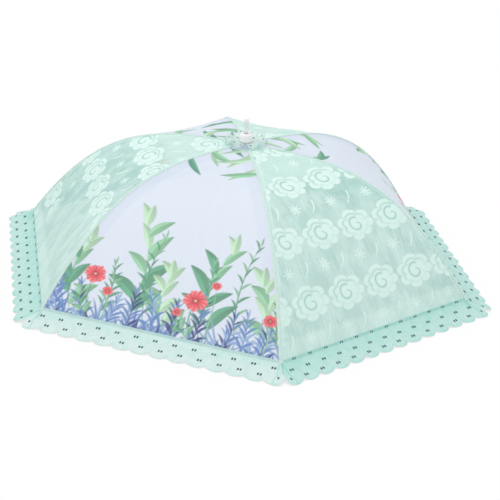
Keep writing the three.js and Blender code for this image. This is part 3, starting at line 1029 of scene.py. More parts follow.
@dataclass(frozen=True)
class Blossom:
    """A flower of crinkled overlapping petals."""

    centre: Pair
    radius: float
    colour: Colour
    rim: Colour
    turn: float
    blur: float = 1.1
    tallness: float = 1.25
    heart: float = 0.1
    stamen_ring: float = 0.2
    stamen: Colour = rgb(150, 44, 66)
    pistil: Colour = rgb(214, 214, 150)

    @property
    def box(self) -> Box:
        """The least and greatest x, then y, that it can reach."""
        x, y = self.centre
        return x - self.radius * 1.1, x + self.radius * 1.1, y - self.radius * 1.1, y + self.radius * 1.1

    def lay(self, x: Array, y: Array, canvas: Array) -> None:
        """Paints the flower.

        Args:
            x, y: The points, in millimetres.
            canvas: Linear colours, changed in place.
        """
        dx, dy = x - self.centre[0], (y - self.centre[1]) * self.tallness
        out = np.hypot(dx, dy) / self.radius
        angle = np.arctan2(dy, dx) + self.turn
        petal = np.abs(np.cos(2 * angle + 0.4 * np.sin(angle)))
        edge = 0.74 + 0.16 * petal**0.5 + 0.05 * np.sin(9 * angle) + 0.03 * np.sin(17 * angle + 1)
        mask = soft_edge((edge - out) * self.radius, self.blur)
        rim = smooth(0.35, 1.0, out / edge) * (0.55 + 0.45 * np.sin(13 * angle + 5 * out))
        plain, crimped = np.array(self.colour[:3]), np.array(self.rim[:3])
        colour = plain + rim[..., None] * (crimped - plain)
        fold = 1 - 0.3 * smooth(0.35, 0.05, petal) - 0.2 * smooth(0.45, 0.1, out)
        canvas[..., :3] += mask[..., None] * (colour * fold[..., None] - canvas[..., :3])
        stamens = bell((out - self.stamen_ring) * self.radius, 1.3) * (np.sin(11 * angle) > 0)
        stamp(canvas, stamens * 0.8, self.stamen)
        stamp(canvas, soft_edge((self.heart - out) * self.radius, 1.0), self.pistil)


@dataclass(frozen=True)
class GardenPrint:
    """A border of low blue sprigs, slender green plants and coral flowers, of the builder's own.

    Each plant has its place along the hem and its height in millimetres, then its bend and leaf size, or a
    flower's radius. A hanging leaf has its height on the seam, its direction and its length.
    """

    seed: int
    slide: float
    ground: Colour = rgb(229, 238, 251)
    repeat: float = 376.0
    allowance: float = 19 * MM
    allowance_shade: tuple[float, float, float] = (0.045, 0.045, 0.02)
    leafy: tuple = (
        (-134, 108, 14, 62, 0.34),
        (-58, 150, -18, 70, 0.32),
        (6, 84, 10, 50, 0.4),
        (74, 132, 20, 66, 0.3),
        (142, 96, -12, 56, 0.38),
    )
    slender: tuple = ((-96, 84, -8), (-24, 138, 10), (38, 112, -10), (110, 152, 12), (174, 92, 8))
    blooms: tuple = ((-112, 66, 18), (40, 58, 20))
    buds: tuple = ((-88, 46, 9), (64, 84, 8), (150, 52, 12), (18, 38, 8))
    hanging: tuple = ((378, -1.0, 58), (352, -1.25, 66), (334, -0.55, 62), (300, -0.9, 54), (286, -0.3, 60))
    least_leaf: float = 2.4

    def spot(self, x: float) -> float:
        """Slides a place along the hem, in millimetres, round the print's repeat."""
        return (x + self.slide + self.repeat / 2) % self.repeat - self.repeat / 2

    def sprig(
        self,
        root: Pair,
        tip: Pair,
        bend: float,
        pairs: int,
        size: float,
        plump: float,
        colours: tuple,
        source: np.random.Generator,
    ) -> list:
        """Draws a stem with leaves on both sides and one at its end.

        Args:
            root, tip: The stem's ends, in millimetres.
            bend: How far its middle stands off the straight line.
            pairs: How many leaves on each side.
            size: The longest leaf.
            plump: A leaf's width as a share of its length.
            colours: Linear colours to pick from; the last is the stem's.
            source: The fixed random source.

        Returns:
            Its leaves.
        """
        start, end = np.array(root, float), np.array(tip, float)
        along = end - start
        length = float(np.hypot(*along))
        along /= length
        side = np.array([-along[1], along[0]])
        veins = 0.1 if plump > 0.22 else 0.0
        made = [Leaf(root, tip, 2.0, colours[-1], bend, 0.0)]
        for k in range(pairs):
            for hand in (-1, 1):
                t = 0.2 + 0.74 * (k + 0.25 * hand + source.uniform(-0.1, 0.1)) / max(pairs - 1, 1)
                base = start + along * length * t + side * bend * 4 * t * (1 - t)
                long = size * source.uniform(0.75, 1.0) * (1 - 0.4 * t)
                lean = math.radians(source.uniform(34, 58) * (1.15 - 0.4 * t))
                way = along * math.cos(lean) + side * hand * math.sin(lean)
                colour = colours[int(source.integers(len(colours)))]
                point = tuple(base + way * long)
                width = max(self.least_leaf, long * plump)
                made.append(Leaf(tuple(base), point, width, colour, hand * -0.1 * long, 0.22, veins))
        crest = end + along * size * 0.5
        width = max(self.least_leaf, size * plump * 0.6)
        made.append(Leaf(tip, tuple(crest), width, colours[0], 0.0, 0.22, veins))
        return made

    def tuft(
        self,
        root: Pair,
        blades: int,
        reach: float,
        colours: tuple,
        source: np.random.Generator,
    ) -> list:
        """Draws a fan of narrow blades from one root.

        Args:
            root: Where they meet, in millimetres.
            blades: How many.
            reach: The longest blade.
            colours: Linear colours to pick from.
            source: The fixed random source.

        Returns:
            Its leaves.
        """
        made = []
        for k in range(blades):
            angle = math.radians(20 + 140 * (k + 0.5) / blades) + source.uniform(-0.08, 0.08)
            long = reach * source.uniform(0.55, 1.0)
            tip = (root[0] + long * math.cos(angle), root[1] + long * math.sin(angle))
            colour = colours[int(source.integers(len(colours)))]
            width = source.uniform(2.6, 4.4)
            made.append(Leaf(root, tip, width, colour, source.uniform(-0.16, 0.16) * long, 0.3))
        return made

    @cached_property
    def motifs(self) -> list:
        """Every motif of the panel, from the back to the front."""
        source = np.random.default_rng(self.seed)
        pale_green, green, deep_green = rgb(190, 228, 192), rgb(148, 206, 164), rgb(98, 170, 134)
        pale_blue, blue, deep_blue = rgb(166, 196, 236), rgb(112, 150, 214), rgb(58, 72, 142)
        coral, pale_coral = rgb(242, 84, 98), rgb(253, 160, 160)
        made: list = []
        for x, high, bend, size, plump in self.leafy:
            x = self.spot(x)
            tone = (pale_green, green, green, deep_green) if size > 58 else (pale_green, pale_green, green)
            tip = (x + source.uniform(-20, 20), high)
            made += self.sprig((x, 4), tip, bend, 4, size, plump, tone, source)
        for x, high, bend in self.slender:
            x = self.spot(x)
            tip = (x + source.uniform(-16, 16), high)
            made += self.sprig((x, 4), tip, bend, 7, 27, 0.19, (green, deep_green, deep_green), source)
        for x in np.arange(-186, 187, 47):
            place = self.spot(x + source.uniform(-8, 8))
            made += self.tuft((place, -4), 7, source.uniform(40, 58), (pale_blue, blue, pale_blue), source)
        for x in np.arange(-180, 181, 33):
            place = self.spot(x + source.uniform(-6, 6))
            tip = (place + source.uniform(-24, 24), source.uniform(32, 62))
            tones = ((blue, pale_blue, deep_blue), (pale_blue, blue, blue), (blue, deep_blue, deep_blue))
            tone = tones[int(source.integers(3))]
            made += self.sprig((place, -8), tip, source.uniform(-6, 6), 6, 30, 0.17, tone, source)
        for x, y, size in self.blooms:
            x = self.spot(x)
            made.append(Leaf((x + 3, 0), (x, y), 2.2, deep_green, 5, 0.0))
            made += self.sprig((x + 2, 4), (x - 16, y * 0.6), 4, 3, 24, 0.4, (green, deep_green), source)
            made.append(Blossom((x, y), size, coral, pale_coral, source.uniform(0, 6)))
        for x, y, size in self.buds:
            x = self.spot(x)
            made.append(Leaf((x - 2, 0), (x, y), 2.0, green, -4, 0.0))
            made.append(Blossom((x, y), size, coral, pale_coral, source.uniform(0, 6)))
        for x in np.arange(-184, 185, 14):
            place = x + source.uniform(-5, 5)
            tone = (blue, deep_blue, pale_blue, blue)
            made += self.tuft((place, -10), 5, source.uniform(20, 34), tone, source)
        for side in (-1, 1):
            for y, toward, size in self.hanging:
                if source.random() < 0.2:
                    continue
                edge = side * (404 - y) * 0.52
                lean = math.pi - toward if side > 0 else toward
                tip = (edge + size * math.cos(lean), y + size * math.sin(lean))
                tone = (pale_green, green, deep_green)[int(source.integers(3))]
                made.append(Leaf((edge, y), tip, size * 0.2, tone, side * source.uniform(3, 8), 0.25, 0.08))
        return made

    def paint(self, cloth: Array, from_seam: Array) -> dict[str, Array]:
        """Paints the print.

        Args:
            cloth: The cut's own coordinates.
            from_seam: How far each point lies from the nearest seam.

        Returns:
            A linear colour for each point.
        """
        x, y = cloth[..., 0].ravel() / MM, cloth[..., 1].ravel() / MM
        canvas = np.ones((x.size, 4)) * np.array(self.ground)
        low_x, high_x, low_y, high_y = x.min(), x.max(), y.min(), y.max()
        for motif in self.motifs:
            box = motif.box
            if box[1] < low_x or box[0] > high_x or box[3] < low_y or box[2] > high_y:
                continue
            near = np.flatnonzero((x > box[0]) & (x < box[1]) & (y > box[2]) & (y < box[3]))
            part = canvas[near]
            motif.lay(x[near], y[near], part)
            canvas[near] = part
        # Along both seams the print is darker: the doubled seam allowance, with painted shade of the
        # cloth's fold over the rib.
        doubled = smooth(self.allowance + 4 * MM, self.allowance - 2 * MM, from_seam.ravel())
        canvas[:, :3] *= 1 - doubled[:, None] * np.array(self.allowance_shade)
        return {"print_colour": canvas.reshape(*cloth.shape[:-1], 4)}


@dataclass(frozen=True)
class LaceFlowers:
    """Rows of eight-lobed flowers that run along the hem, with daisies and dashes between the rows."""

    slide: float = 0.0
    bare_from: float = 1000.0
    bare_height: float = 105.0
    pitch: float = 66.5
    row_pitch: float = 90.0
    first_row: float = 65.5
    daisy_place: float = 0.22
    dash_lean: float = 0.5
    half_wide: float = 33.5
    half_tall: float = 27.0
    coil_radius: float = 11.0
    line_width: float = 1.5
    daisy_radius: float = 9.8
    dash_half: float = 10.5
    bare_blur: float = 14.0
    dense_from: float = 110.0
    dense_to: float = 230.0
    allowance: float = 7.0
    hem_band: float = 24.0

    def large(self, x: Array, y: Array) -> tuple[Array, Array]:
        """Draws the flowers.

        Args:
            x, y: The points, in millimetres.

        Returns:
            Their mask and the mask of their lines.
        """
        row = np.round((y - self.first_row) / self.row_pitch)
        column = np.floor(x / self.pitch) + 0.5
        dx = x - column * self.pitch
        dy = y - self.first_row - row * self.row_pitch
        out = np.hypot(dx / self.half_wide, dy / self.half_tall)
        angle = np.arctan2(dy / self.half_tall, dx / self.half_wide)
        wander = 3.5 * angle + 0.55 * np.sin(angle + 1.0) + 0.3 * np.sin(2 * angle)
        lobe = np.abs(np.cos(wander))
        edge = 0.71 + 0.24 * lobe**0.6 + 0.05 * np.sin(2 * angle + 0.7)
        flower = soft_edge((edge - out) * self.half_tall, 1.4)
        shown = 0.25 + 0.75 * smooth(-0.35, 0.4, np.sin(angle - 0.6))
        inner = bell((out - edge * 0.7) * self.half_tall, 1.3) * 0.75 * shown
        ribs = bell(np.cos(wander) * out * 5.5, 1.0) * (out > 0.6) * 0.35
        turn = (np.arctan2(dy, dx) - 0.8) % TURN
        coil = self.coil_radius - 0.35 * turn - 6.5 * smooth(4.9, TURN, turn)
        swirl = bell(np.hypot(dx, dy) - coil, self.line_width) * smooth(0.0, 0.35, turn)
        return flower, np.clip(inner + ribs + swirl, 0, 1) * (out < edge)

    def small(self, x: Array, y: Array) -> Array:
        """Draws the daisies and the dashes between the rows.

        Args:
            x, y: The points, in millimetres.

        Returns:
            Their mask.
        """
        pitch = self.pitch / 2
        row = np.floor((y - self.first_row) / self.row_pitch)
        dy = y - self.first_row - (row + 0.5) * self.row_pitch
        slot = np.round(x / pitch - 2 * self.daisy_place)
        dx = x - (slot + 2 * self.daisy_place) * pitch
        ray = np.abs(np.cos(4 * np.arctan2(dy, dx)))
        daisy = soft_edge(self.daisy_radius * (0.28 + 0.72 * ray**1.8) - np.hypot(dx, dy), 1.2)
        bow = dx - self.dash_lean * dy - 3.0 * np.cos(dy / 7) + 1.5
        dash = soft_edge(self.line_width - np.abs(bow), 0.9)
        dash = dash * smooth(self.dash_half + 1, self.dash_half - 1, np.abs(dy))
        return np.where(slot % 2 == 0, daisy, dash)

    def paint(self, cloth: Array, from_seam: Array) -> dict[str, Array]:
        """Paints the lace.

        Args:
            cloth: The cut's own coordinates.
            from_seam: How far each point lies from the nearest seam.

        Returns:
            A flower mask and a line mask for each point.
        """
        x, y = cloth[..., 0] / MM, cloth[..., 1] / MM
        bare = smooth(self.bare_from - self.bare_blur, self.bare_from + self.bare_blur, x)
        bare = bare * smooth(self.bare_blur, -self.bare_blur, y - self.bare_height)
        flower, line = self.large(x - self.slide, y)
        flower = np.maximum(flower, 0.9 * self.small(x - self.slide, y))
        flower = flower * (0.8 + 0.2 * smooth(self.dense_from, self.dense_to, y)) * (1 - bare)
        doubled = 0.42 * smooth(self.allowance + 0.8, self.allowance - 0.8, from_seam / MM)
        doubled = np.maximum(doubled, 0.3 * smooth(self.hem_band + 6, self.hem_band - 2, y))
        return {"lace_flower": np.maximum(flower, doubled), "lace_line": line * (1 - bare)}


@dataclass(frozen=True)
class Gore:
    """One gore of the canopy, in bands that ride on both of its ribs."""

    canopy: Canopy
    number: int
    cloth: Cloth
    pair: int
    material: Material
    pattern: GardenPrint | LaceFlowers
    collar_rows: int = 28
    collar_columns: int = 18
    bend_from: float = 0.7
    bend_to: float = 0.9

    @property
    def name(self) -> str:
        """The CAD node that it stands for."""
        return f"{self.cloth.value}_gore_{self.pair}"

    def build(self) -> list[Piece]:
        """Makes its pieces.

        Returns:
            The pieces, from the crown to the hem, one side after the other.
        """
        made: list[Piece] = []
        for half in halves(self.number):
            made.append(self.collar(half))
            made += self.bands(half)
        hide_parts(self.name)
        LOG.info("%s: %d pieces", self.name, len(made))
        return made

    def collar(self, half: Half) -> Piece:
        """Makes the part on the crown that bends down to the first band.

        Args:
            half: Which half, with the rib beside it.

        Returns:
            The piece.
        """
        canopy = self.canopy
        landing, _ = canopy.line.at(np.array([canopy.landing]), canopy.lift)
        ((end_radius, end_height),) = landing
        radii = np.linspace(canopy.hole_radius, end_radius, self.collar_rows)
        acrosses = -half.side * np.linspace(1, 0, self.collar_columns)
        radius, across = np.meshgrid(radii, acrosses, indexing="ij")
        share = smooth(canopy.plateau_radius, end_radius, radius)
        height = canopy.plateau_height + share * (end_height - canopy.plateau_height)
        x = across * canopy.half_width(radius)
        points = turned(np.stack([radius * COS_HALF, x, height], axis=-1), gore_azimuth(self.number))
        top = canopy.heights[1][0]
        cloth = np.stack([x, top - (radius - end_radius) * COS_HALF], axis=-1)
        normals = np.broadcast_to((0.0, 0.0, 1.0), points.shape)
        paint = self.pattern.paint(cloth, canopy.half_width(radius) - np.abs(x))
        piece = skin(f"{self.name}_collar_{half.hand}", points, self.material, normals, cloth, paint)
        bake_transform(piece)
        self.declare(piece, float(end_radius / 2), float(end_radius - canopy.hole_radius))
        return piece

    def bands(self, half: Half) -> list[Piece]:
        """Makes one half's bands.

        Args:
            half: Which half, with the rib that they ride on.

        Returns:
            The bands, from the crown down.
        """
        canopy = self.canopy
        length = canopy.line.measured[2]
        made = []
        for band, (top, bottom) in enumerate(zip(canopy.marks[:-1], canopy.marks[1:]), start=1):
            edge, _ = canopy.line.at(np.array([bottom]), canopy.lift)
            wide = float(edge[0, 0] * SIN_HALF)
            rows = max(4, round((bottom - top) * length / canopy.cell))
            columns = max(4, round(wide / canopy.cell))
            shares = np.linspace(top, bottom, rows + 1)
            share, across = np.meshgrid(shares, -half.side * np.linspace(1, 0, columns + 1), indexing="ij")
            points, cloth, normals = canopy.shaded(self.number, share, across)
            half_width = canopy.half_width(canopy.line.at(share, canopy.lift)[0][..., 0])
            paint = self.pattern.paint(cloth, (1 - np.abs(across)) * half_width)
            piece = skin(f"{self.name}_{half.hand}{band}", points, self.material, normals, cloth, paint)
            canopy.fit(piece, half, top, bottom)
            self.declare(piece, wide, float((bottom - top) * length))
            made.append(piece)
        return made

    def declare(self, piece: Piece, wide: float, long: float) -> None:
        """Works out a piece's area, at most its flat cut's box, and keeps nothing.

        Args:
            piece: The piece.
            wide, long: The flat cut's box.
        """
        "print_fabric" if self.cloth is Cloth.PRINT else "lace_mesh"
        area = min(area_of(piece), wide * long)


@dataclass(frozen=True)
class Trim:
    """The scalloped lace strip on one side of the hem, in two halves that go with the ribs."""

    canopy: Canopy
    number: int
    on_lace: bool
    wardrobe: Wardrobe
    depth: float
    width: float = 40 * MM
    tilt: float = math.asin(12.3 / 40)
    hem_slope: float = math.radians(58.6)
    overlap: float = 4 * MM
    scallops: int = 14
    scallop_depth: float = 8 * MM
    end_cut: float = 5 * MM
    pleat_from: float = 3 * MM
    mitre_gap: float = 0.6 * MM
    over_gore: float = 0.45 * MM
    above_table: float = 0.4 * MM
    turn_from: float = -1 * MM
    turn_to: float = 7 * MM
    profile_steps: int = 400
    edge_width: float = 4 * MM
    worked_from_hem: float = 30 * MM
    pleat_width: float = 1.1 * MM
    columns_each: int = 24
    rows: int = 44
    wave: float = 1.6 * MM
    long_wave: float = 61 * MM
    short_wave: float = 23 * MM
    dot: tuple[float, float, float] = (2.7 * MM, 4.7 * MM, 0.5 * MM)
    dot_over: float = 0.3 * MM
    dot_pitch: float = 28.5 * MM
    dot_pairs: int = 12
    dot_apart: float = 1.95 * MM
    lace_rows: Pair = (13.5 * MM, 28 * MM)
    print_rows: Pair = (9 * MM, 25.5 * MM)
    hem_dot_apart: float = 1.7 * MM
    hem_dot_up: float = 1.6 * MM
    hem_dot_size: float = 0.7

    @cached_property
    def profile(self) -> tuple[Array, Array]:
        """How far down each step lies, and its distance and height in the gore's middle plane."""
        down = np.linspace(-self.overlap, self.width + 2 * MM, self.profile_steps)
        turned_out = smooth(self.turn_from, self.turn_to, down)
        angle = self.hem_slope + (self.tilt - self.hem_slope) * turned_out
        step = down[1] - down[0]
        path = np.cumsum(np.stack([np.cos(angle), -np.sin(angle)], axis=-1) * step, axis=0)
        edge, _ = self.canopy.line.at(np.array([self.canopy.hem]), self.canopy.lift + self.over_gore)
        hem = np.array([edge[0, 0] * COS_HALF, edge[0, 1]])
        zero = np.array([np.interp(0, down, path[:, 0]), np.interp(0, down, path[:, 1])])
        return down, path - zero + hem

    @property
    def inner(self) -> Pair:
        """The distance and height of the strip's middle in the gore's middle plane."""
        downs, path = self.profile
        half_way = 0.5 * self.width
        return float(np.interp(half_way, downs, path[:, 0])), float(np.interp(half_way, downs, path[:, 1]))

    def half_at(self, distance: Array) -> Array:
        """Gives half of the strip's length at the mitre, by how far out it is measured."""
        return distance * math.tan(SECTOR / 2) - self.mitre_gap / 2

    def build(self) -> list[Piece]:
        """Makes the two halves and their dots.

        Returns:
            The pieces.
        """
        made = [piece for half in halves(self.number) for piece in self.strip(half)]
        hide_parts(f"lace_trim_{self.number}")
        LOG.info("lace_trim_%d: %d pieces", self.number, len(made))
        return made

    def place(self, x: Array, down: Array, over: float = 0.0) -> Array:
        """Puts the strip's own coordinates in the object's frame.

        Args:
            x: Along the hem, from its middle.
            down: Away from the hem.
            over: The distance above the strip.

        Returns:
            The points.
        """
        downs, path = self.profile
        out = np.interp(down, downs, path[:, 0])
        height = np.interp(down, downs, path[:, 1])
        free = smooth(0.25 * self.width, self.width, down)
        phase = 1.3 * self.number
        long_wave = 0.3 * np.sin(TURN * x / self.long_wave + phase)
        short_wave = 0.2 * np.sin(TURN * x / self.short_wave + 2 * phase)
        flutter = 0.5 + long_wave + short_wave
        height = np.maximum(height + self.wave * free * flutter, self.above_table) + over
        out = out + over * math.sin(self.tilt)
        return turned(np.stack([out, x, height], axis=-1), gore_azimuth(self.number))

    def strip(self, half: Half) -> list[Piece]:
        """Makes one half and its dots.

        Args:
            half: Which half, with the rib that it rides on.

        Returns:
            The strip and its dots.
        """
        root = self.width - self.scallop_depth
        downs, path = self.profile
        root_out = float(np.interp(root, downs, path[:, 0]))
        top_half = float(self.half_at(path[0, 0]))
        foot_half = float(self.half_at(root_out)) - self.end_cut
        each = self.scallops // 2
        u = np.linspace(0, 1, each * self.columns_each + 1)[None, :]
        phase = (u * each) % 1.0
        pitch = foot_half / each
        rise = self.scallop_depth
        radius = (pitch * pitch / 4 + rise * rise) / (2 * rise)
        lobe = np.sqrt(np.clip(radius**2 - ((phase - 0.5) * pitch) ** 2, 0, None))
        depth = root + rise - radius + lobe
        v = np.linspace(0, 1, self.rows)[:, None]
        down = -self.overlap + v * (depth + self.overlap)
        cut = self.end_cut * smooth(0.62 * root, root, down)
        ends = self.half_at(np.interp(down, downs, path[:, 0])) - cut
        x = -half.side * u * ends
        cloth = np.stack([x, down], axis=-1)
        near_edge = smooth(self.edge_width, 1 * MM, depth - down) * 0.2
        near_hem = smooth(self.worked_from_hem, 0.0, down) * 0.15
        # Painted shade: a darker line near each end stands for the shade in the pleat where the strip folds
        # at the corner.
        from_end = ends - np.abs(x) - self.pleat_from - 0.3 * down
        pleat_shade = bell(from_end, self.pleat_width) * smooth(0.0, 6 * MM, down) * 0.5
        paint = {"trim_depth": np.clip(near_edge + near_hem + pleat_shade + self.depth, 0, 1)}
        name = f"lace_trim_{self.number}_{half.hand}"
        normals = self.facing(x, down)
        piece = skin(name, self.place(x, down), self.wardrobe.trim, normals, cloth, paint)
        self.canopy.fit(piece, half, self.canopy.hem, self.canopy.hem, self.inner)
        dots = self.dots(half, top_half, foot_half, root)
        wide = float(np.abs(x).max())
        long = self.width + self.overlap
        min(area_of(piece), wide * long)
        return [piece, dots]

    def facing(self, x: Array, down: Array) -> Array:
        """Finds the directions that face out of the strip.

        Args:
            x, down: The strip's own coordinates.

        Returns:
            The normals.
        """
        step = 0.4 * MM
        x, down = np.broadcast_arrays(x, down)
        along = self.place(x + step, down) - self.place(x - step, down)
        outward = self.place(x, down + step) - self.place(x, down - step)
        return facing_up(along, outward)

    def dots(self, half: Half, top_half: float, foot_half: float, root: float) -> Piece:
        """Makes one half's embroidered dots, in pairs.

        Args:
            half: Which half, with the rib that they ride on.
            top_half, foot_half: Half of the strip's length at its top and at its scallops' root.
            root: How far down that root is.

        Returns:
            The dots, as one piece.
        """
        places = []
        for row, down in enumerate(self.lace_rows if self.on_lace else self.print_rows):
            limit = top_half + (foot_half - top_half) * (down / root) - 3 * MM
            for k in range(self.dot_pairs):
                middle = (k + 0.5 * row) * self.dot_pitch
                for part in (-self.dot_apart, self.dot_apart):
                    if 0.2 * MM < middle + part < limit:
                        places.append((middle + part, down, 1.0))
        for k in range(self.dot_pairs if self.on_lace else 0):
            for part in (-self.hem_dot_apart, self.hem_dot_apart):
                middle = (k + 0.5) * self.dot_pitch + part
                if middle < top_half - 4 * MM:
                    places.append((middle, -self.hem_dot_up, self.hem_dot_size))
        along_hem, down, sizes = np.array(places).T
        x = -half.side * along_hem
        piece = SCATTER.lay(
            f"trim_dots_{self.number}_{half.hand}",
            self.place(x, down, self.dot_over),
            self.place(x + 1 * MM, down) - self.place(x - 1 * MM, down),
            self.facing(x, down),
            sizes,
            self.wardrobe.dots,
            self.dot,
        )
        self.canopy.fit(piece, half, self.canopy.hem, self.canopy.hem, self.inner)
        return piece


class Scatter:
    """A Geometry Nodes tree that sets small sewn marks on points."""

    def __init__(self) -> None:
        """Builds the tree."""
        self.tree = bpy.data.node_groups.new("sewn_marks", "GeometryNodeTree")
        sockets = {
            "Points": ("NodeSocketGeometry", "INPUT"),
            "Length": ("NodeSocketFloat", "INPUT"),
            "Width": ("NodeSocketFloat", "INPUT"),
            "Height": ("NodeSocketFloat", "INPUT"),
            "Material": ("NodeSocketMaterial", "INPUT"),
            "Marks": ("NodeSocketGeometry", "OUTPUT"),
        }
        for key, (kind, way) in sockets.items():
            self.tree.interface.new_socket(key, in_out=way, socket_type=kind)
        made = Tree(self.tree)
        given = made.add("NodeGroupInput").outputs
        read = {
            key: made.add("GeometryNodeInputNamedAttribute", {"Name": key}, data_type=kind).outputs[0]
            for key, kind in (("facing", "FLOAT_VECTOR"), ("along", "FLOAT_VECTOR"), ("size", "FLOAT"))
        }
        ball = made.add("GeometryNodeMeshUVSphere", {"Segments": 10, "Rings": 6, "Radius": 0.5})
        size = made.add("ShaderNodeCombineXYZ", {0: given["Length"], 1: given["Width"], 2: given["Height"]})
        upright = made.add("FunctionNodeAlignRotationToVector", {"Vector": read["facing"]}, axis="Z")
        turned_on = made.add(
            "FunctionNodeAlignRotationToVector",
            {"Rotation": upright.outputs[0], "Vector": read["along"]},
            axis="X",
            pivot_axis="Z",
        )
        sizes = {0: size.outputs[0], "Scale": read["size"]}
        scale = made.add("ShaderNodeVectorMath", sizes, operation="SCALE")
        instances = made.add(
            "GeometryNodeInstanceOnPoints",
            {
                "Points": given["Points"],
                "Instance": ball.outputs["Mesh"],
                "Rotation": turned_on.outputs[0],
                "Scale": scale.outputs[0],
            },
        )
        real = made.add("GeometryNodeRealizeInstances", {0: instances.outputs[0]}).outputs[0]
        shaded = made.add("GeometryNodeSetMaterial", {"Geometry": real, "Material": given["Material"]})
        made.feed(made.add("NodeGroupOutput").inputs[0], shaded.outputs[0])

    def lay(
        self,
        name: str,
        points: Array,
        along: Array,
        facing: Array,
        sizes: Array,
        material: Material,
        mark: tuple[float, float, float],
    ) -> Piece:
        """Sets marks on points.

        Args:
            name: The piece's name.
            points: Where the marks go.
            along: Each mark's length direction.
            facing: Each mark's upward direction.
            sizes: Each mark's size, as a share.
            material: Their finish.
            mark: A mark's length, width and height.

        Returns:
            The marks, as one plain mesh.
        """
        mesh = bpy.data.meshes.new(name + "_points")
        mesh.vertices.add(len(points))
        mesh.vertices.foreach_set("co", points.astype(np.float32).ravel())
        for key, values in (("along", along), ("facing", facing), ("size", sizes)):
            store(mesh, key, values)
        carrier = placed(name + "_carrier", mesh)
        modifier = carrier.modifiers.new("marks", "NODES")
        modifier.node_group = self.tree
        values = {"Length": mark[0], "Width": mark[1], "Height": mark[2], "Material": material}
        for item in self.tree.interface.items_tree:
            if item.item_type == "SOCKET" and item.name in values:
                modifier[item.identifier] = values[item.name]
        bpy.context.view_layer.update()
        evaluated = carrier.evaluated_get(bpy.context.evaluated_depsgraph_get())
        plain = bpy.data.meshes.new_from_object(evaluated)
        plain.name = name
        plain.polygons.foreach_set("use_smooth", np.ones(len(plain.polygons), dtype=bool))
        if not plain.materials:
            plain.materials.append(material)
        bpy.data.objects.remove(carrier)
        return placed(name, plain)


SCATTER = Scatter()


@dataclass(frozen=True)
class SeamTape:
    """The narrow lace tape over a rib's seam, with its stitches."""

    canopy: Canopy
    rib: int
    wardrobe: Wardrobe
    half_width: float = 2.7 * MM
    picot: float = 0.5 * MM
    picot_pitch: float = 3 * MM
    over: float = 0.35 * MM
    cord: float = 0.6 * MM
    cord_width: float = 1.1 * MM
    step: float = 0.75 * MM
    stitch: tuple[float, float, float] = (2.3 * MM, 0.45 * MM, 0.3 * MM)
    stitch_pitch: float = 3.6 * MM
    stitch_off: float = 1.9 * MM
    stitch_over: float = 0.12 * MM
    stitch_from_end: float = 2 * MM

    def cross(self, share: Array, off: Array) -> Array:
        """Finds points on the tape.

        Args:
            share: Shares of the rib's line.
            off: Signed distances from the seam; positive lies on the gore of the rib's own number.

        Returns:
            The points.
        """
        edge, _ = self.canopy.line.at(share, self.canopy.lift)
        inward = 1 - np.abs(off) / self.canopy.half_width(edge[..., 0])
        raised = self.over + self.cord * bell(off, self.cord_width)
        before = self.rib - 1 if self.rib > 1 else len(RIBS)
        own, _ = self.canopy.surface(self.rib, share, -inward, raised)
        other, _ = self.canopy.surface(before, share, inward, raised)
        return np.where((off >= 0)[..., None], own, other)

    def build(self) -> list[Piece]:
        """Makes the tape and its stitches.

        Returns:
            The pieces.
        """
        canopy = self.canopy
        length = canopy.line.measured[2]
        rows = round((canopy.hem - canopy.landing) * length / self.step)
        share = np.linspace(canopy.landing, canopy.hem, rows)[:, None]
        outer = np.array([0.08, 0.2, 0.36, 0.55, 0.8, 1])
        offsets = np.concatenate([-outer[::-1], [0.0], outer])[None, :]
        picot = self.picot * np.abs(np.sin(math.pi * share * length / self.picot_pitch))
        off = offsets * self.half_width + np.sign(offsets) * (np.abs(offsets) == 1) * picot
        share, off = np.broadcast_arrays(share, off)
        cloth = np.stack([off, share * length], axis=-1)
        paint = {"trim_depth": smooth(1.4 * MM, 0.2 * MM, np.abs(off)) * 0.6}
        tape = skin(f"seam_tape_{self.rib}", self.cross(share, off), self.wardrobe.tape, None, cloth, paint)
        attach(tape, f"rib_{self.rib}")
        stitches = self.stitches()
        LOG.info("seam_tape_%d", self.rib)
        return [tape, stitches]

    def stitches(self) -> Piece:
        """Makes the two rows of stitches.

        Returns:
            The stitches, as one piece.
        """
        canopy = self.canopy
        length = canopy.line.measured[2]
        first = canopy.landing * length + self.stitch_from_end
        last = canopy.hem * length - self.stitch_from_end
        at = np.arange(first, last, self.stitch_pitch) / length
        spots = np.concatenate([at, at])
        sides = np.repeat([self.stitch_off, -self.stitch_off], len(at))
        along = self.cross(spots + 0.002, sides) - self.cross(spots - 0.002, sides)
        across = self.cross(spots, sides + 0.3 * MM) - self.cross(spots, sides - 0.3 * MM)
        facing = facing_up(along, across)
        piece = SCATTER.lay(
            f"seam_stitches_{self.rib}",
            self.cross(spots, sides) + facing * self.stitch_over,
            along,
            facing,
            np.ones(len(spots)),
            self.wardrobe.stitch,
            self.stitch,
        )
        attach(piece, f"rib_{self.rib}")
        return piece


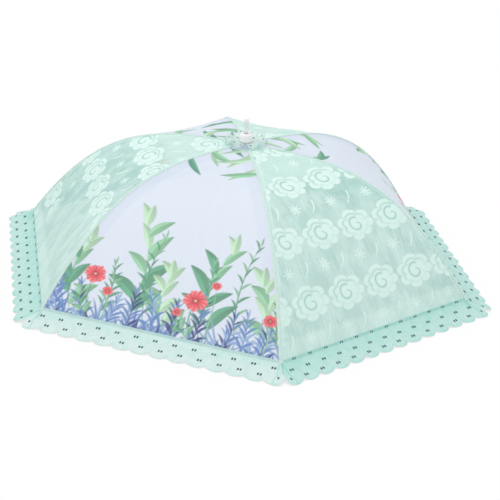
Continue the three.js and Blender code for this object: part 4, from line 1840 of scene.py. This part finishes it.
@dataclass(frozen=True)
class Rosette:
    """The ruffled lace disc under the crown's cap."""

    wardrobe: Wardrobe
    inner: float = 7.4 * MM
    flat: float = 11 * MM
    radius: float = 31.6 * MM
    height: float = 196.6 * MM
    waves: int = 9
    wave_height: float = 11 * MM
    fall: float = 1.6 * MM
    fall_start: float = 17.2 * MM
    scallop: float = 0.8 * MM
    cut_width: float = 25 * MM
    steps: int = 540
    rings: int = 44
    dots: int = 18
    dot: tuple[float, float, float] = (2.4 * MM, 3.4 * MM, 0.4 * MM)
    dot_over: float = 0.25 * MM

    def ruffle(self, angle: Array) -> Array:
        """Gives the height of the ruffle's waves round the axis, from zero to one."""
        return (1 - np.cos(self.waves * angle + 0.5 * np.sin(2 * angle))) / 2

    def place(self, angle: Array, out: Array) -> Array:
        """Finds points on the ruffle.

        Args:
            angle: Round the axis.
            out: From zero at its hole to one at its edge.

        Returns:
            The points.
        """
        edge = self.radius - self.scallop * np.abs(np.sin(27 * angle))
        radius = self.inner + out * (edge - self.inner)
        loose = smooth(self.flat, self.radius * 1.2, radius)
        loose = loose / smooth(self.flat, self.radius * 1.2, np.array(self.radius))
        fine = 0.12 * (1 + np.sin(31 * angle + 3 * np.sin(angle)))
        drop = self.fall * np.clip((radius - self.fall_start) / (self.radius - self.fall_start), 0, 1)
        waves = np.clip(self.ruffle(angle) * 0.88 + fine * 0.5, 0, 1)
        height = self.height + loose * self.wave_height * waves - drop
        sway = 0.05 * np.sin(self.waves * angle) * loose
        return np.stack([radius * np.cos(angle + sway), radius * np.sin(angle + sway), height], axis=-1)

    def build(self) -> Piece:
        """Makes the ruffle and its dots.

        Returns:
            The ruffle.
        """
        angles = np.linspace(0, TURN, self.steps, endpoint=False)
        out, angle = np.meshgrid(np.linspace(0, 1, self.rings), angles, indexing="ij")
        cloth = np.stack([angle * self.radius, out * self.cut_width], axis=-1)
        # Deeper at the worked edge, and painted shade in the troughs between the ruffle's waves.
        depth = np.clip(smooth(0.9, 0.99, out) * 0.7 + (1 - self.ruffle(angle)) * 0.5 * out, 0, 1)
        paint = {"trim_depth": depth}
        points = self.place(angle, out)
        piece = skin("rosette_ruffle", points, self.wardrobe.rosette, None, cloth, paint, True)
        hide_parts("rosette")
        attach(piece, "crown")
        source = np.random.default_rng(3)
        count = np.arange(self.dots)
        turns = (count + source.uniform(-0.25, 0.25, self.dots)) * TURN / self.dots
        outs = np.where(count % 2 == 0, 0.5, 0.8)
        along = self.place(turns + 0.02, outs) - self.place(turns - 0.02, outs)
        outward = self.place(turns, outs + 0.02) - self.place(turns, outs - 0.02)
        facing = facing_up(outward, along)
        dots = SCATTER.lay(
            "rosette_dots",
            self.place(turns, outs) + facing * self.dot_over,
            along,
            facing,
            np.ones(self.dots),
            self.wardrobe.dots,
            self.dot,
        )
        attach(dots, "crown")
        long = area_of(piece) / self.cut_width
        LOG.info("rosette")
        return piece


@dataclass(frozen=True)
class PullTab:
    """The ribbon loop that lifts the runner."""

    wardrobe: Wardrobe
    inset: float = 0.3 * MM
    base_gap: float = 0.9 * MM
    sag: float = 4.5 * MM
    pinch: float = 0.18
    pinch_height: float = 5 * MM
    cup: float = 0.25 * MM
    columns: int = 10
    climb_steps: int = 40
    turn_steps: int = 26

    def build(self) -> Piece:
        """Makes the loop inside the box of its CAD node.

        Returns:
            The loop.
        """
        low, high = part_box("pull_tab")
        half_depth = (high.y - low.y) / 2 - self.inset
        half_width = (high.x - low.x) / 2 - self.inset
        foot, top = low.z + self.inset, high.z - self.sag
        rise = np.linspace(0, 1, self.climb_steps)
        belly = self.base_gap + (half_depth - self.base_gap) * smooth(0.0, 0.75, rise)
        climb = foot + (top - half_depth - foot) * rise
        turn = np.linspace(0, math.pi, self.turn_steps)[1:-1]
        depth = np.concatenate([-belly, -half_depth * np.cos(turn), belly[::-1]])
        height = np.concatenate([climb, climb[-1] + half_depth * np.sin(turn), climb[::-1]])
        length = np.concatenate([[0], np.cumsum(np.hypot(np.diff(depth), np.diff(height)))])
        across = np.linspace(-1, 1, self.columns)[None, :]
        pinch = 1 - self.pinch * bell(height - foot, self.pinch_height)
        cup = self.cup * np.sin(math.pi * (height - foot) / (top - foot))
        x = across * half_width * pinch[:, None]
        y = depth[:, None] + (1 - across**2) * (cup * np.sign(depth))[:, None]
        y = np.clip(y, -half_depth, half_depth)
        z, up = (np.broadcast_to(values[:, None], x.shape) for values in (height, length))
        points, cloth = np.stack([x, y, z], axis=-1), np.stack([x, up], axis=-1)
        piece = skin("pull_tab_ribbon", points, self.wardrobe.ribbon, None, cloth)
        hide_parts("pull_tab")
        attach(piece, "runner")
        LOG.info("pull tab")
        return piece


@dataclass(frozen=True)
class CornerPocket:
    """The cloth sleeve at a corner of the hem that holds the end of a rib's wire."""

    line: RibLine
    rib: int
    wardrobe: Wardrobe
    start: float = 3 * MM
    end: float = 12.6 * MM
    radius: float = 2.6 * MM
    neck_at: float = 0.3
    neck_width: float = 0.12
    pleats: int = 7
    rings: int = 26
    steps: int = 64

    def build(self) -> Piece:
        """Makes the sleeve.

        Returns:
            The sleeve.
        """
        (hem,), (way,) = self.line.at(np.array([1.0]))
        along = np.array([way[0], 0, way[1]])
        over = np.array([-way[1], 0, way[0]])
        side = np.array([0, 1, 0])
        angles = np.linspace(0, TURN, self.steps, endpoint=False)
        rise, angle = np.meshgrid(np.linspace(0, 1, self.rings), angles, indexing="ij")
        neck = 1 - 0.16 * bell(rise - self.neck_at, self.neck_width) + 0.1 * smooth(0.8, 1.0, rise)
        fold = 1 + 0.05 * np.sin(self.pleats * angle) * (1 - rise)
        radius = np.minimum(self.radius * neck * fold, self.radius * 1.04)
        far = self.start + rise * (self.end - self.start)
        points = (
            np.array([hem[0], 0, hem[1]])
            + far[..., None] * along
            + (radius * np.cos(angle))[..., None] * over
            + (radius * np.sin(angle))[..., None] * side
        )
        points = turned(points, rib_azimuth(self.rib))
        cloth = np.stack([angle * self.radius, far], axis=-1)
        paint = {"trim_depth": smooth(self.neck_width, 0.0, np.abs(rise - self.neck_at)) * 0.8}
        piece = skin(f"pocket_sleeve_{self.rib}", points, self.wardrobe.pocket, None, cloth, paint, True)
        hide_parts(f"corner_pocket_{self.rib}")
        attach(piece, f"rib_{self.rib}")
        LOG.info("corner pocket %d", self.rib)
        return piece


@dataclass(frozen=True)
class Mechanism:
    """The hard pieces, which keep their CAD meshes."""

    wardrobe: Wardrobe

    def dress(self) -> None:
        """Gives each hard piece its finish."""
        kinds = {
            "crown_cap": self.wardrobe.cap,
            "crown_hub": self.wardrobe.plastic,
            "runner_ring": self.wardrobe.steel,
            "crown_ring": self.wardrobe.steel,
            "rib_rivet": self.wardrobe.steel,
            "rib_foot": self.wardrobe.plastic,
            "runner": self.wardrobe.plastic,
            "strut": self.wardrobe.plastic,
            "rib": self.wardrobe.wire,
        }
        for name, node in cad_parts.items():
            start = next((key for key in kinds if name.startswith(key)), None)
            if start is None or node.hide_render:
                continue
            node.data.materials.clear()
            node.data.materials.append(kinds[start])
            LOG.info("%s: %s", name, kinds[start].name)


@dataclass(frozen=True)
class Studio:
    """The floor, the light and the camera at the photograph's angle."""

    azimuth: float = math.radians(-10.72)
    elevation: float = math.radians(23.77)
    roll: float = math.radians(3.4)
    distance: float = 2.283
    lens: float = 107.03
    sensor: float = 36.0
    clip: Pair = (0.05, 60.0)
    aim_across: float = 0.0159
    aim_up: float = 0.0207
    floor_size: float = 14.0
    floor_colour: Colour = rgb(150, 154, 158)
    floor_shade: Colour = rgb(138, 143, 148)
    shade_reach: float = 0.09
    shade_depth: float = 0.3
    shade_from: float = 0.27
    shade_blur: float = 0.05
    room_light: float = 0.82
    backdrop: float = 1.0
    lamp_place: tuple[float, float, float] = (-0.75, -0.1, 2.5)
    lamp_size: float = 1.8
    lamp_energy: float = 12.0
    def build(self) -> None:
        """Makes the studio."""
        self.camera()
        self.floor()
        self.light()
        bpy.context.scene.view_settings.view_transform = "Standard"
        LOG.info("studio")

    def camera(self) -> None:
        """Makes the camera."""
        data = bpy.data.cameras.new("camera")
        data.lens = self.lens
        data.sensor_width = self.sensor
        data.clip_start, data.clip_end = self.clip
        camera = placed("camera", data)
        right = Vector((math.cos(self.azimuth), math.sin(self.azimuth), 0))
        back = Vector((
            math.sin(self.azimuth) * math.cos(self.elevation),
            -math.cos(self.azimuth) * math.cos(self.elevation),
            math.sin(self.elevation),
        ))
        aim = right * self.aim_across + Vector((0, 0, self.aim_up))
        camera.location = aim + back * self.distance
        camera.rotation_mode = "QUATERNION"
        camera.rotation_quaternion = (-back).to_track_quat("-Z", "Y") @ Quaternion((0, 0, 1), self.roll)
        bpy.context.scene.camera = camera

    def floor(self) -> None:
        """Makes the floor: as white as the room, with a soft shade close round what stands on it."""
        finish = Finish("floor")
        tree = finish.tree
        reach = {"Distance": self.shade_reach}
        hidden = tree.add("ShaderNodeAmbientOcclusion", reach, samples=12).outputs["AO"]
        shade = tree.span(hidden, 1.0, 0.2, 0.0, self.shade_depth)
        from_axis = tree.add("ShaderNodeVectorMath", {0: finish.place}, operation="LENGTH").outputs["Value"]
        outside = tree.span(from_axis, self.shade_from, self.shade_from + self.shade_blur)
        grain = tree.noise(finish.place, scale=3.0)
        finish.wire(
            Base_Color=tree.mix(grain, self.floor_colour, self.floor_shade),
            Roughness=0.9,
            Alpha=tree.math("MULTIPLY", shade, outside),
        )
        half = self.floor_size / 2
        grid = np.linspace(-half, half, 3)
        points = np.stack(np.meshgrid(grid, grid, [0.0], indexing="ij"), axis=-1)[:, :, 0, :]
        skin("floor", points, finish.material, np.broadcast_to((0.0, 0.0, 1.0), points.shape))

    def light(self) -> None:
        """Makes the even light of a white room and one soft lamp."""
        world = bpy.data.worlds.new("white_room")
        bpy.context.scene.world = world
        world.use_nodes = True
        tree = Tree(world.node_tree)
        background = world.node_tree.nodes["Background"]
        seen = tree.add("ShaderNodeLightPath").outputs["Is Camera Ray"]
        tree.feed(background.inputs["Strength"], tree.span(seen, 0.0, 1.0, self.room_light, self.backdrop))
        tree.feed(background.inputs["Color"], (1, 1, 1, 1))
        data = bpy.data.lights.new("soft_lamp", "AREA")
        data.shape = "DISK"
        data.size = self.lamp_size
        data.energy = self.lamp_energy
        lamp = placed("soft_lamp", data)
        lamp.location = self.lamp_place
        lamp.rotation_mode = "QUATERNION"
        lamp.rotation_quaternion = (-Vector(self.lamp_place)).to_track_quat("-Z", "Y")


LEFT_LACE = {5: LaceFlowers(slide=32.0, first_row=56.5, bare_from=-78.0)}
PRINT_SHIFT = 47.0
# How deep each trim's mint is painted: deep for most, which on the far right trim also paints the shade it
# hangs in; the front-left trim is painted paler, as painted light on its lit side.
TRIM_DEPTH = 0.66
LIT_TRIM_DEPTH = {6: 0.3}


def main() -> None:
    """Builds the scene in order."""
    logging.basicConfig(level=logging.INFO, format="%(message)s")
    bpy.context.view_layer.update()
    Studio().build()
    wardrobe = Wardrobe()
    canopy = Canopy()
    for number in RIBS:
        printed = number % 2 == 0
        lace = LEFT_LACE.get(number, LaceFlowers())
        Gore(
            canopy,
            number,
            Cloth.PRINT if printed else Cloth.LACE,
            (number + 1) // 2,
            wardrobe.print if printed else wardrobe.lace,
            GardenPrint(number, PRINT_SHIFT * (number - len(RIBS))) if printed else lace,
        ).build()
        Trim(canopy, number, not printed, wardrobe, LIT_TRIM_DEPTH.get(number, TRIM_DEPTH)).build()
    for rib in RIBS:
        SeamTape(canopy, rib, wardrobe).build()
        CornerPocket(canopy.line, rib, wardrobe).build()
    Rosette(wardrobe).build()
    PullTab(wardrobe).build()
    Mechanism(wardrobe).dress()


if __name__ == "__main__":
    main()
